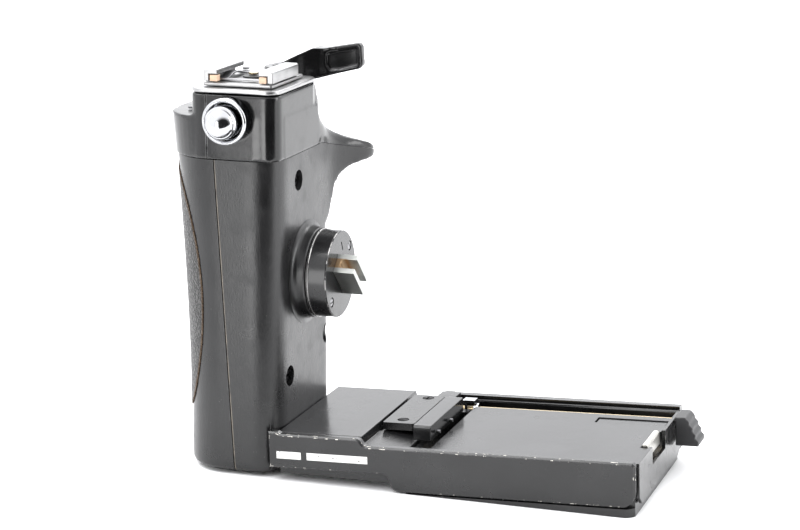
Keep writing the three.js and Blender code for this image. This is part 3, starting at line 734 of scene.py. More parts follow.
class Blank:
    """A closed body being worked, in millimetres of the drawing frame."""

    def __init__(self, mesh: bpy.types.Mesh) -> None:
        """Puts a mesh on the bench."""
        self.item = bpy.data.objects.new("blank", mesh)
        bpy.context.scene.collection.objects.link(self.item)

    @classmethod
    def from_bmesh(cls, work: bmesh.types.BMesh) -> "Blank":
        """A body from an edited mesh, with its faces turned outwards.

        Args:
            work: Edited mesh, freed here.

        Returns:
            The body.
        """
        bmesh.ops.recalc_face_normals(work, faces=work.faces)
        mesh = bpy.data.meshes.new("blank")
        work.to_mesh(mesh)
        work.free()
        return cls(mesh)

    @classmethod
    def prism(cls, outline: Outline, axis: Axis, low: float, high: float, steps: int = 1) -> "Blank":
        """An outline carried along an axis.

        Args:
            outline: closed outline, in the two other axes' order.
            axis: direction of travel.
            low: start of the travel.
            high: end of the travel.
            steps: rings along the travel.

        Returns:
            The body.
        """
        work = bmesh.new()
        rings = []
        for i in range(steps + 1):
            travel = low + (high - low) * i / steps
            ring = []
            for a, b in outline:
                co = [0.0, 0.0, 0.0]
                co[axis.value[0]], co[axis.value[1]], co[axis.value[2]] = a, b, travel
                ring.append(work.verts.new(co))
            rings.append(ring)
        count = len(outline)
        for lower, upper in zip(rings, rings[1:]):
            for j in range(count):
                k = (j + 1) % count
                work.faces.new((lower[j], lower[k], upper[k], upper[j]))
        work.faces.new(rings[0])
        work.faces.new(rings[-1])
        return cls.from_bmesh(work)

    @classmethod
    def block(cls, x0: float, x1: float, y0: float, y1: float, z0: float, z1: float) -> "Blank":
        """A plain block, used as a cutting tool."""
        return cls.prism([(x0, y0), (x1, y0), (x1, y1), (x0, y1)], Axis.Z, z0, z1)

    @classmethod
    def rod(cls, radius: float, axis: Axis, at: tuple, low: float, high: float) -> "Blank":
        """A round bar, used as a cutting tool.

        Args:
            radius: Radius of the bar.
            axis: Direction it runs in.
            at: Its centre in the plane across the axis.
            low: Start along the axis.
            high: End along the axis.

        Returns:
            The bar.
        """
        turns = [2 * math.pi * i / 64 for i in range(64)]
        ring = [(at[0] + radius * math.cos(a), at[1] + radius * math.sin(a)) for a in turns]
        return cls.prism(ring, axis, low, high)

    @classmethod
    def turned(cls, profile: Outline, axis: Axis, at: tuple, segments: int = 96) -> "Blank":
        """A turned body.

        Args:
            profile: (radius, distance) pairs; it closes on itself, or on the axis.
            axis: direction of the turning axis.
            at: the axis' place in the two other directions.
            segments: faces round the body.

        Returns:
            The body.
        """
        work = bmesh.new()
        rings = []
        for radius, distance in profile:
            ring = []
            for j in range(1 if radius < 1e-6 else segments):
                a = 2 * math.pi * j / segments
                co = [0.0, 0.0, 0.0]
                co[axis.value[0]] = at[0] + radius * math.cos(a)
                co[axis.value[1]] = at[1] + radius * math.sin(a)
                co[axis.value[2]] = distance
                ring.append(work.verts.new(co))
            rings.append(ring)
        open_ended = len(rings[0]) == 1 and len(rings[-1]) == 1
        pairs = list(zip(rings, rings[1:])) if open_ended else list(zip(rings, rings[1:] + rings[:1]))
        for first, second in pairs:
            for j in range(segments):
                k = (j + 1) % segments
                corners = [first[j % len(first)], first[k % len(first)]]
                corners += [second[k % len(second)], second[j % len(second)]]
                corners = list(dict.fromkeys(corners))
                if len(corners) > 2:
                    work.faces.new(corners)
        return cls.from_bmesh(work)

    @classmethod
    def cad(cls, node: str) -> "Blank":
        """A merged copy of a CAD node.

        Args:
            node: Name of the CAD node.

        Returns:
            The copy.
        """
        work = bmesh.new()
        work.from_mesh(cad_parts[node].data)
        bmesh.ops.scale(work, vec=(1 / MM,) * 3, verts=work.verts)
        bmesh.ops.translate(work, vec=tuple(PLAN_CENTRE), verts=work.verts)
        bmesh.ops.remove_doubles(work, verts=work.verts, dist=0.002)
        edges = [e for e in work.edges if len(e.link_faces) == 2]
        limit = math.radians(0.4)
        bmesh.ops.dissolve_limit(work, angle_limit=limit, verts=work.verts, edges=edges)
        return cls.from_bmesh(work)

    def copy(self) -> "Blank":
        """A second body of the same shape."""
        return Blank(self.item.data.copy())

    def modify(self, kind: str, **settings: Any) -> "Blank":
        """Applies one modifier.

        Args:
            kind: Type of the modifier.
            settings: Values of its fields.

        Returns:
            This body.
        """
        modifier = self.item.modifiers.new(kind, kind)
        for key, value in settings.items():
            setattr(modifier, key, value)
        return self.settle()

    def settle(self) -> "Blank":
        """Turns the evaluated body into a plain mesh and drops its modifiers."""
        graph = bpy.context.evaluated_depsgraph_get()
        mesh = bpy.data.meshes.new_from_object(self.item.evaluated_get(graph))
        self.item.modifiers.clear()
        old, self.item.data = self.item.data, mesh
        bpy.data.meshes.remove(old)
        return self

    def scrap(self) -> None:
        """Takes the body off the bench."""
        bpy.data.objects.remove(self.item)

    def _boolean(self, operation: str, tools: Iterable["Blank"]) -> "Blank":
        """Applies one boolean for each tool, which is used up."""
        for tool in tools:
            self.modify("BOOLEAN", operation=operation, solver="MANIFOLD", object=tool.item)
            tool.scrap()
        return self

    def cut(self, *tools: "Blank") -> "Blank":
        """Removes the tools' volume."""
        return self._boolean("DIFFERENCE", tools)

    def join(self, *tools: "Blank") -> "Blank":
        """Adds the tools' volume."""
        return self._boolean("UNION", tools)

    def keep(self, *tools: "Blank") -> "Blank":
        """Keeps only what lies in the tools."""
        return self._boolean("INTERSECT", tools)

    def remesh(self, voxel: float) -> "Blank":
        """Rebuilds the skin as an even net of quads."""
        return self.modify("REMESH", mode="VOXEL", voxel_size=voxel)

    def smooth(
        self, passes: int, where: Optional[Callable[[np.ndarray], np.ndarray]] = None
    ) -> "Blank":
        """Relaxes the skin.

        Args:
            passes: how often.
            where: gives each point a weight from 0 to 1; everywhere when left out.

        Returns:
            The same body.
        """
        settings = {"factor": 0.5, "iterations": passes}
        if where is not None:
            weights = np.clip(where(self.points()), 0, 1)
            group = self.item.vertex_groups.new(name="relax")
            levels = np.round(weights * 10).astype(int)
            for level in range(1, 11):
                chosen = np.flatnonzero(levels == level).tolist()
                if chosen:
                    group.add(chosen, level / 10, "REPLACE")
            settings["vertex_group"] = "relax"
        self.modify("SMOOTH", **settings)
        self.item.vertex_groups.clear()
        return self

    def points(self) -> np.ndarray:
        """The vertices as an array."""
        mesh = self.item.data
        found = np.zeros(len(mesh.vertices) * 3, np.float32)
        mesh.vertices.foreach_get("co", found)
        return found.reshape(-1, 3)

    def set_points(self, points: np.ndarray) -> "Blank":
        """Moves the vertices.

        Args:
            points: New places, one row for each vertex.

        Returns:
            This body.
        """
        self.item.data.vertices.foreach_set("co", points.astype(np.float32).ravel())
        self.item.data.update()
        return self

    def note(self, name: str, values: np.ndarray) -> "Blank":
        """Stores a number on each vertex for the finish to read.

        Args:
            name: Name of the attribute.
            values: One number for each vertex.

        Returns:
            This body.
        """
        layer = self.item.data.attributes.new(name, "FLOAT", "POINT")
        layer.data.foreach_set("value", values.astype(np.float32))
        return self

    def note_edges(self, tight: float) -> "Blank":
        """Stores how far each vertex of an even net stands out of its neighbours.

        Args:
            tight: Height in millimetres that counts as a full edge.

        Returns:
            This body.
        """
        mesh = self.item.data
        points = self.points().astype(float)
        ends = np.zeros(len(mesh.edges) * 2, np.int32)
        mesh.edges.foreach_get("vertices", ends)
        ends = ends.reshape(-1, 2)
        total = np.zeros_like(points)
        count = np.zeros(len(points))
        for a, b in ((0, 1), (1, 0)):
            np.add.at(total, ends[:, a], points[ends[:, b]])
            np.add.at(count, ends[:, a], 1)
        normals = np.zeros(len(points) * 3, np.float32)
        mesh.vertex_normals.foreach_get("vector", normals)
        out = points - total / np.maximum(count, 1)[:, None]
        stand = (out * normals.reshape(-1, 3)).sum(1)
        return self.note("edge", np.clip(stand / tight, 0, 1) ** 2)

    def break_edges(self, width: float, segments: int = 2, angle: float = 28) -> "Blank":
        """Rounds the sharp edges and notes the new faces as edges.

        Args:
            width: Width of the rounding.
            segments: Faces across it.
            angle: Edges sharper than this many degrees are rounded.

        Returns:
            This body.
        """
        work = bmesh.new()
        work.from_mesh(self.item.data)
        limit = math.radians(angle)
        sharp = [e for e in work.edges if e.is_manifold and e.calc_face_angle(0) > limit]
        layer = work.faces.layers.float.new("edge")
        made = bmesh.ops.bevel(
            work,
            geom=sharp,
            offset=width,
            offset_type="OFFSET",
            segments=segments,
            profile=0.5,
            affect="EDGES",
            clamp_overlap=True,
        )
        for face in made["faces"]:
            face[layer] = 1.0
        work.to_mesh(self.item.data)
        work.free()
        return self

    def tilt(self) -> "Blank":
        """Puts a body drawn level at the tray's slight rise."""
        turn = Matrix.Rotation(-TRAY_TILT, 4, "Y")
        self.item.data.transform(Matrix.Translation((0, 0, TRAY_LIFT)) @ turn)
        return self

    def shade(self, angle: float = 32) -> "Blank":
        """Smooth shading with flat faces kept flat.

        Args:
            angle: Edges sharper than this many degrees stay sharp.

        Returns:
            This body.
        """
        mesh = self.item.data
        mesh.shade_smooth()
        mesh.set_sharp_from_angle(angle=math.radians(angle))
        return self.modify("WEIGHTED_NORMAL", keep_sharp=True)

    def place(
        self,
        name: str,
        body: Body,
        palette: Palette,
        finish: Finish,
        nodes: Sequence[str] = (),
    ) -> bpy.types.Object:
        """Moves the finished body to the row frame and hands it over.

        Args:
            name: the piece's name.
            body: the CAD body that it rides on.
            palette: source of its material.
            finish: its finish.
            nodes: CAD nodes that it stands for.

        Returns:
            The finished piece.
        """
        piece = self.item
        self.set_points((self.points() - PLAN_CENTRE) * MM)
        piece.name = name
        piece.data.name = name
        piece.data.materials.clear()
        piece.data.materials.append(palette.material(finish))
        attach(piece, body.value)
        if nodes:
            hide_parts(*nodes)
        LOG.info("made %s for %s: %d faces", name, body.value, len(piece.data.polygons))
        return piece


# ------------------------------------------------------------------ geometry trees
class ShapeTree(Net):
    """A geometry tree with named number inputs."""

    def __init__(self, name: str, inputs: dict[str, float]) -> None:
        """Starts a tree.

        Args:
            name: the tree's name.
            inputs: its sizes and their usual values.
        """
        super().__init__(bpy.data.node_groups.new(name, "GeometryNodeTree"))
        face = self.tree.interface
        face.new_socket("Geometry", in_out="INPUT", socket_type="NodeSocketGeometry")
        self.keys: dict[str, str] = {}
        for label, value in inputs.items():
            socket = face.new_socket(label, in_out="INPUT", socket_type="NodeSocketFloat")
            socket.default_value = value
            self.keys[label] = socket.identifier
        face.new_socket("Geometry", in_out="OUTPUT", socket_type="NodeSocketGeometry")
        self.entry = self.node("NodeGroupInput")

    def given(self, label: str) -> Field:
        """One of the tree's inputs."""
        return Field(self, self.entry.outputs[label])

    def close(self, shape: Field, material: bpy.types.Material) -> None:
        """Ends the tree in plain dressed geometry.

        Args:
            shape: Geometry to give out.
            material: Material it wears.
        """
        plain = self.field("GeometryNodeRealizeInstances", None, {0: shape})
        dressed = self.field(
            "GeometryNodeSetMaterial", None, {"Geometry": plain, "Material": material}
        )
        self.node("NodeGroupOutput", None, {0: dressed})

    def run(self, blank: Blank, sizes: Optional[dict[str, float]] = None) -> Blank:
        """Applies the tree to a body.

        Args:
            blank: the body.
            sizes: inputs that differ from the usual ones.

        Returns:
            The same body, reshaped.
        """
        modifier = blank.item.modifiers.new("shape", "NODES")
        modifier.node_group = self.tree
        for label, value in (sizes or {}).items():
            modifier[self.keys[label]] = float(value)
        return blank.settle()


class SculptTree(ShapeTree):
    """The rule that draws the grip column in to its waist and leans its front out."""

    def __init__(self, sizes: dict[str, float], material: bpy.types.Material) -> None:
        """Builds the tree from the column's sizes.

        Args:
            sizes: Named sizes of the column.
            material: Material the result wears.
        """
        super().__init__("grip_sculpt", sizes)
        x, y, z = self.parts(self.field("GeometryNodeInputPosition"))
        face, top = self.given("Face X"), self.given("Top")
        waist, waist_z = self.given("Waist"), self.given("Waist height")
        rise = (z - waist_z).at_least(0.0) / (top - waist_z)
        width = waist + (1 - waist) * rise**1.6
        forward = ((self.given("Back") - y) / self.given("Back")).at_least(0.0)
        x = face + (x - face) * width
        y = y - self.given("Lean") * forward * (1 - z / top)
        under = (1 - z / self.given("Foot height")).at_least(0.0) ** 2.0
        pull = under * self.given("Foot inset")
        mid_x, mid_y = -16.0, 21.9
        x = mid_x + (x - mid_x) * (1 - pull / 18.0)
        y = mid_y + (y - mid_y) * (1 - pull / 22.9)
        moved = self.combine(x, y, z)
        shape = self.field(
            "GeometryNodeSetPosition", None, {"Geometry": self.given("Geometry"), "Position": moved}
        )
        self.close(shape, material)


class ScrewTree(ShapeTree):
    """Slotted screw heads on points that carry an aim, a turn and a size."""

    def __init__(self, material: bpy.types.Material) -> None:
        """Builds the tree.

        Args:
            material: Material the screws wear.
        """
        inputs = {"Height": 0.55, "Dome": 0.16, "Slot width": 0.34, "Slot depth": 0.3}
        super().__init__("slotted_screws", inputs)
        height = self.given("Height")
        stock = self.field(
            "GeometryNodeMeshCylinder",
            {"fill_type": "TRIANGLE_FAN"},
            {"Vertices": 40, "Side Segments": 1, "Fill Segments": 5, "Radius": 1.0, "Depth": height},
        )
        x, y, z = self.parts(self.field("GeometryNodeInputPosition"))
        radius = (x * x + y * y) ** 0.5
        top = z.ramp(-0.01, 0.01)
        crowned = self.combine(x, y, z + height * 0.5 - top * self.given("Dome") * radius**3.0)
        head = self.field(
            "GeometryNodeSetPosition", None, {"Geometry": stock, "Position": crowned}
        )
        depth = self.given("Slot depth")
        size = self.combine(3.0, self.given("Slot width"), depth * 2)
        bar = self.field("GeometryNodeMeshCube", None, {"Size": size})
        raised = self.field(
            "GeometryNodeTransform",
            None,
            {"Geometry": bar, "Translation": self.combine(0.0, 0.0, height)},
        )
        slotted = self.node("GeometryNodeMeshBoolean", {"operation": "DIFFERENCE"}, {"Mesh 1": head})
        self.tree.links.new(raised.socket, slotted.inputs["Mesh 2"])
        aim = self._stored("aim", "FLOAT_VECTOR")
        faced = self.field(
            "FunctionNodeAlignRotationToVector", {"axis": "Z"}, {"Factor": 1.0, "Vector": aim}
        )
        spin = self.field(
            "FunctionNodeAxisAngleToRotation",
            None,
            {"Axis": (0.0, 0.0, 1.0), "Angle": self._stored("turn", "FLOAT")},
        )
        turned = self.field(
            "FunctionNodeRotateRotation",
            {"rotation_space": "LOCAL"},
            {"Rotation": faced, "Rotate By": spin},
        )
        scale = self._stored("size", "FLOAT")
        heads = self.field(
            "GeometryNodeInstanceOnPoints",
            None,
            {
                "Points": self.given("Geometry"),
                "Instance": Field(self, slotted.outputs[0]),
                "Rotation": turned,
                "Scale": self.combine(scale, scale, scale),
            },
        )
        self.close(heads, material)

    def _stored(self, name: str, kind: str) -> Field:
        """A value stored on the points."""
        return self.field("GeometryNodeInputNamedAttribute", {"data_type": kind}, {"Name": name})


@dataclass(frozen=True)
class Screw:
    """One slotted screw: the CAD node it stands for, its seat, aim, slot turn and radius."""

    node: str
    seat: tuple[float, float, float]
    aim: tuple[float, float, float]
    turn: float
    radius: float


# ------------------------------------------------------------------ sub-assemblies
@dataclass
class SubAssembly:
    """A group of pieces that are built together."""

    palette: Palette

    def trim(
        self, node: str, body: Body, finish: Finish, width: float, segments: int = 2
    ) -> bpy.types.Object:
        """Remakes a CAD node with its edges broken.

        Args:
            node: the CAD node.
            body: the body it rides on.
            finish: its finish.
            width: width of the broken edges in millimetres.
            segments: faces across a broken edge.

        Returns:
            The finished piece.
        """
        blank = Blank.cad(node).break_edges(width, segments).shade()
        return blank.place(f"{node}_finished", body, self.palette, finish, [node])

    def build(self) -> None:
        """Builds the group's pieces."""
        raise NotImplementedError


@dataclass
class Column(SubAssembly):
    """Sizes and rules of the grip's sculpted column, shared by all that lies on it."""

    face_x: float = 2.0
    left: float = -34.0
    back: float = 43.8
    top: float = 93.0
    waist: float = 0.885
    waist_z: float = 20.0
    lean: float = 3.2
    seam_top: float = -17.5
    seam_foot: float = -11.0
    wall: float = 2.6
    nose: float = 3.5

    def __post_init__(self) -> None:
        """Builds the sculpting tree once."""
        sizes = {
            "Face X": self.face_x,
            "Top": self.top,
            "Back": self.back,
            "Waist": self.waist,
            "Waist height": self.waist_z,
            "Lean": self.lean,
            "Foot height": 2.2,
            "Foot inset": 3.2,
        }
        self.sculpt = SculptTree(sizes, self.palette.material(Finish.HOUSING))

    def section(self, grow: float) -> list:
        """Plan outline of the grip, grown outwards.

        Args:
            grow: How far the outline is moved outwards.

        Returns:
            The outline.
        """
        right, left = self.face_x + grow, self.left - grow
        front, back = -1 - grow, self.back + grow
        start = 5 + self.nose * (grow <= 0)
        outline = [(right, start + (37 - start) * i / 16) for i in range(17)]
        outline += bezier((right, 37), (right, 41), (-1 + grow, back), (-6, back))
        outline += [(-17, back)]
        outline += bezier((-17, back), (-26 - grow, back), (left, 36 + grow), (left, 27))
        outline += [(left, 15)]
        outline += bezier((left, 15), (left, 6 - grow), (-27 - grow, front), (-18, front))
        outline += [(-start, front)]
        last = bezier(outline[-1], (-1 + grow, front), (right, 1 - grow * 0.6), (right, start))
        return outline + last[:-1]

    def blank(self, grow: float, low: float, high: float, steps: int = 60) -> Blank:
        """The column as a body."""
        plain = Blank.prism(self.section(grow), Axis.Z, low, high, steps)
        return self.sculpt.run(plain)

    def seam_side(self, side: int) -> Blank:
        """Everything on one side of the slanted seam; side is 1 for the inner half.

        Args:
            side: 1 for the inner half, -1 for the outer one.

        Returns:
            The region.
        """
        slope = (self.seam_top - self.seam_foot) / self.top
        low = self.seam_foot - 5 * slope + side * GAP / 2
        high = self.seam_foot + 120 * slope + side * GAP / 2
        far = 40 if side > 0 else -60
        return Blank.prism([(low, -5), (high, 120), (far, 120), (far, -5)], Axis.Y, -30, 90)


@dataclass
class ThumbRest:
    """The wing behind the grip, swept towards the camera body."""

    side: Outline = (
        (24, 112), (31.4, 112), (31.6, 108), (33.2, 103.6), (36.6, 100.3), (40.4, 98.2), (44, 96.5),
        (49, 94.3), (54.5, 91.8), (60, 89.5), (62.9, 88.1), (64.6, 86.5), (64.2, 85.3), (61.5, 84.9),
        (57, 84.5), (52.4, 83.5), (49, 82.1), (46.4, 79.9), (44.6, 77.1), (43.4, 73.5), (41, 68),
        (24, 66),
    )
    plan: Outline = (
        (2, 24), (2, 38), (2.2, 43), (3.2, 47), (5.4, 51.4), (8.3, 55.6), (9.9, 59), (9.6, 62.2),
        (7.6, 64), (4.6, 64.5), (-1, 63), (-8, 59), (-15, 53.8), (-21, 48), (-26, 41), (-28, 34),
        (-28, 24),
    )
    parting: Outline = ((36, 93.3), (66, 86.4))
    parting_gap: float = 0.14

    def blank(self) -> Blank:
        """The rest as a body, with its outlines eased into curves."""
        plan = Blank.prism(eased(self.plan), Axis.Z, 60, 115)
        return Blank.prism(eased(self.side), Axis.X, -60, 40).keep(plan)

    def parting_side(self, above: bool) -> Blank:
        """Region above or below the parting line between housing and cover.

        Args:
            above: True for the side of the cover.

        Returns:
            The region.
        """
        drop = 0.0 if above else self.parting_gap
        (y0, z0), (y1, z1) = self.parting
        edge = [(-40, z0 - drop), (y0, z0 - drop), (y1 + 10, z1 - 2.2 - drop)]
        ends = [(76, 140), (-40, 140)] if above else [(76, -20), (-40, -20)]
        return Blank.prism(edge + ends, Axis.X, -60, 60)

    def sweep(self) -> Blank:
        """Space over the wing's hollow top, where it runs out of the block's inner side."""
        hollow = list(self.side[1:8])
        return Blank.prism(hollow + [(49, 112)], Axis.X, -1.5, 10)

    @staticmethod
    def reach(points: np.ndarray) -> np.ndarray:
        """Weight of the wing's own surface, for extra smoothing."""
        return np.clip((points[:, 1] - 42) / 8, 0, 1) * (points[:, 2] > 62)

    @staticmethod
    def root(points: np.ndarray) -> np.ndarray:
        """Weight of the corner between block, boss and wing.

        Args:
            points: Places of the vertices.

        Returns:
            A weight from 0 to 1 for each vertex.
        """
        x, y, z = points.T
        near = np.clip((y - 32) / 2, 0, 1) * np.clip((58 - y) / 8, 0, 1)
        return near * np.clip((x + 5) / 4, 0, 1) * np.clip((z - 90) / 2, 0, 1)


@dataclass
class Housing(SubAssembly):
    """The two cast halves of the grip and the palm panel let into the outer one."""

    column: Column
    rest: ThumbRest
    voxel: float = 0.6
    bores: tuple[tuple[float, float], ...] = ((16.3, 85.3), (38.2, 33.8), (7.9, 28.2))
    bore_radius: float = 3.1
    drum_centre: tuple[float, float] = (23.0, 56.5)
    panel_foot: float = 17.5
    panel_top: float = 91.0
    panel_reach: float = -21.3

    def panel_edge(self, z: np.ndarray, grow: float) -> np.ndarray:
        """Where the palm panel ends round the grip's front at a height.

        Args:
            z: Heights.
            grow: How far the edge is moved outwards.

        Returns:
            The place of the edge at each height.
        """
        t = np.clip((z - self.panel_foot) / (self.panel_top - self.panel_foot), 0, 1)
        bulge = np.sin(np.pi * t**0.8).clip(0, 1) ** 0.72
        corner = -28.6 + (-34 + 28.6) * t
        return corner + (self.panel_reach - corner) * bulge + grow

    def panel_outline(self, grow: float) -> Blank:
        """Everything within the palm panel's outline.

        Args:
            grow: How far the outline is moved outwards.

        Returns:
            The region.
        """
        t = (1 - np.cos(np.pi * np.arange(61) / 60)) / 2
        low, high = self.panel_foot - grow, self.panel_top + grow
        z = low + t * (high - low)
        x = self.panel_edge(z, grow)
        outline = list(zip(x.tolist(), z.tolist())) + [(-60, high), (-60, low)]
        return Blank.prism(outline, Axis.Y, -30, 90)

    def build(self) -> None:
        """Builds both halves and the panel."""
        column = self.column
        cast = column.blank(0, 0, 98).join(self.rest.blank()).remesh(self.voxel)
        cast.smooth(5).smooth(24, ThumbRest.reach).keep(self.rest.parting_side(False))
        cavity = column.blank(-column.wall, 3, 99, 30)
        outer = cast.copy()
        seat = column.blank(3, -1, 99).cut(column.blank(-0.9, -2, 100))
        seat.keep(self.panel_outline(GAP))
        outer.keep(column.seam_side(-1)).cut(cavity.copy(), seat).note_edges(0.12).shade(40)
        outer.place("outer_housing_cast", Body.GRIP, self.palette, Finish.HOUSING, ["outer_housing"])
        tools = [Blank.rod(self.bore_radius, Axis.X, bore, -0.8, 10) for bore in self.bores]
        tools.append(Blank.rod(4.2, Axis.X, self.drum_centre, -10, 20))
        tools.append(Blank.block(-0.7, 10, -12, -1.9, -1, 16.2))
        tools.append(Blank.block(column.face_x + 0.2, 20, -10, 60, -1, 20))
        inner = cast.keep(column.seam_side(1)).cut(cavity, *tools).note_edges(0.12).shade(40)
        inner.place("inner_housing_cast", Body.GRIP, self.palette, Finish.HOUSING, ["inner_housing"])
        self.build_panel()

    def build_panel(self) -> None:
        """Builds the palm panel with a softened, brown cut edge."""
        pad = self.column.blank(0.35, 0, 96).cut(self.column.blank(-0.6, -1, 97))
        pad.keep(self.panel_outline(0)).remesh(0.36).smooth(3)
        points = pad.points()
        inward = self.panel_edge(points[:, 2], 0) - points[:, 0]
        near_end = np.minimum(points[:, 2] - self.panel_foot, self.panel_top - points[:, 2])
        inward = np.minimum(inward, near_end)
        pad.note("rim", np.clip(1 - inward / 0.55, 0, 1)).shade(60)
        pad.place("palm_panel_leather", Body.GRIP, self.palette, Finish.LEATHER, ["palm_panel"])


@dataclass
class TopCover(SubAssembly):
    """The gloss cover over the gears, in two pieces, and its bright rim."""

    column: Column
    rest: ThumbRest
    voxel: float = 0.5
    block: tuple[float, float, float, float] = (-25.0, 2.4, -1.4, 31.6)
    block_radius: float = 4.0
    block_top: float = 112.4
    shoulder: float = 105.5
    cap_seam: float = -19.3
    lever: tuple[float, float] = (-10.0, 41.0)
    release: tuple[float, float] = (-12.2, 105.1)

    def band(self) -> Blank:
        """The band that carries on the column's section up to the shoulder."""
        low = self.column.top + GAP
        ring = Blank.prism(self.column.section(0.5), Axis.Z, low, self.shoulder, 4)
        points = ring.points()
        rise = (points[:, 2] - self.column.top) / (self.shoulder - self.column.top)
        points[:, 0] -= rise * np.maximum(0, (-8 - points[:, 0]) / 26)
        return ring.set_points(points)

    def build(self) -> None:
        """Builds cover, cap and rim."""
        low = self.column.top + GAP
        back_cut = Blank.block(-60, 60, 31.6, 80, 103.2, 120)
        cast = self.band().join(self.rest.blank()).cut(back_cut, self.rest.sweep())
        outline = rounded_rect(*self.block, self.block_radius)
        cast.join(Blank.prism(outline, Axis.Z, low, self.block_top))
        cast.join(Blank.rod(8.5, Axis.Z, self.lever, 80, 107))
        cast.cut(Blank.block(-60, 60, -30, 34, 40, low)).remesh(self.voxel).smooth(6)
        cast.smooth(24, ThumbRest.reach).smooth(140, ThumbRest.root)
        cast.keep(self.rest.parting_side(True))
        hollow = Blank.prism(self.column.section(-self.column.wall), Axis.Z, 92, 102.4)
        cast.cut(
            hollow.cut(Blank.block(-5, 10, 33, 60, 80, 110)),
            Blank.rod(7, Axis.Z, self.lever, 92, 101.5),
            Blank.rod(2.4, Axis.Z, self.lever, 100, 110),
            Blank.rod(2.2, Axis.Z, (-13, 23), 100, 106),
            Blank.rod(5.2, Axis.Y, self.release, -10, 9.5),
        )
        cap = cast.copy().keep(Blank.block(-60, self.cap_seam - GAP / 2, -30, 90, 0, 140))
        cap.note_edges(0.1).shade(40)
        cap.place("palm_cap_cast", Body.GRIP, self.palette, Finish.COVER, ["palm_cap"])
        cast.keep(Blank.block(self.cap_seam + GAP / 2, 60, -30, 90, 0, 140))
        cast.note_edges(0.1).shade(40)
        cast.place("top_cover_cast", Body.GRIP, self.palette, Finish.COVER, ["top_cover"])
        x0, x1, y0, y1 = self.block
        rim = rounded_rect(x0 + 0.1, x1 + 0.2, y0 - 0.2, y1 - 0.1, self.block_radius, 20)
        plate = Blank.prism(rim, Axis.Z, self.block_top + GAP, 113.9)
        plate.break_edges(0.35, 3).shade()
        plate.place("rim_plate_bright", Body.GRIP, self.palette, Finish.ALLOY, ["rim_plate"])
        self.trim("shoulder_pin", Body.GRIP, Finish.STEEL, 0.2)


@dataclass
class Shoe(SubAssembly):
    """The accessory shoe."""

    def build(self) -> None:
        """Trims the shoe's pieces."""
        self.trim("shoe_base", Body.GRIP, Finish.ALLOY, 0.2)
        self.trim("shoe_spring", Body.GRIP, Finish.SPRING, 0.08)
        self.trim("shoe_insulator", Body.GRIP, Finish.KNOB, 0.15)
        self.trim("shoe_contact", Body.GRIP, Finish.BRASS, 0.15)
        for i in range(2):
            self.trim(f"shoe_rail_{i}", Body.GRIP, Finish.ALLOY, 0.25, 3)
            self.trim(f"shoe_stop_{i}", Body.GRIP, Finish.PAD, 0.15)


@dataclass
class Release(SubAssembly):
    """The shutter release: ring collar, button and its guide."""

    axis: tuple[float, float] = (-12.2, 105.1)
    stem: tuple[float, float] = (-12.4, 104.8)
    front: float = -1.4
    collar: float = 6.75
    flange: float = 6.95
    bore: float = 5.2
    rim: float = 1.2
    dome: float = 4.1
    barrel: float = 4.85
    lip: float = 4.2
    reach: float = 9.6

    def build(self) -> None:
        """Turns collar and button."""
        lip = self.front - self.lip
        mouth = self.collar - self.rim
        ring = [
            (self.bore, self.front - GAP), (self.bore, self.front - 1.2), (mouth, self.front - 1.6),
            (mouth, lip + 0.35), (mouth + 0.35, lip), (self.collar - 0.4, lip),
            (self.collar, lip + 0.45), (self.collar + 0.1, lip + 1.0),
            (self.flange, self.front - 0.9), (self.flange, self.front - GAP),
        ]
        collar = Blank.turned(ring, Axis.Y, self.axis, 128).break_edges(0.1, 3).shade()
        collar.place("release_collar_ring", Body.GRIP, self.palette, Finish.CHROME, ["release_collar"])
        tip = self.front - self.reach
        turns = [math.radians(62 * i / 16) for i in range(17)]
        crown = self.dome / math.sin(turns[-1])
        profile = [(crown * math.sin(a), tip + crown * (1 - math.cos(a))) for a in turns]
        edge = profile[-1][1]
        profile += [(self.dome + 0.25, edge + 0.1), (self.barrel - 0.15, edge + 0.6)]
        profile += [(self.barrel, edge + 0.9), (self.barrel, 2.6), (0, 2.6)]
        button = Blank.turned(profile, Axis.Y, self.axis)
        button.join(Blank.rod(1.6, Axis.Y, self.stem, 1.0, 5.2)).shade()
        button.place("release_button_dome", Body.RELEASE, self.palette, Finish.CHROME, ["release_button"])
        self.palette.dress("release_spring", Finish.SPRING)


@dataclass
class WindLever(SubAssembly):
    """The rapid wind lever and the shafts that it drives."""

    voxel: float = 0.3

    def build(self) -> None:
        """Softens the arm and trims its collar and cap."""
        arm = Blank.cad("lever_arm").remesh(self.voxel).smooth(7).note_edges(0.06).shade(50)
        arm.place("lever_arm_cast", Body.LEVER, self.palette, Finish.LEVER, ["lever_arm"])
        self.trim("lever_cap", Body.LEVER, Finish.STEEL, 0.25)
        self.trim("lever_collar", Body.LEVER, Finish.STEEL, 0.25)
        self.palette.dress("lever_shaft", Finish.STEEL)
        self.palette.dress("drive_shaft", Finish.STEEL)


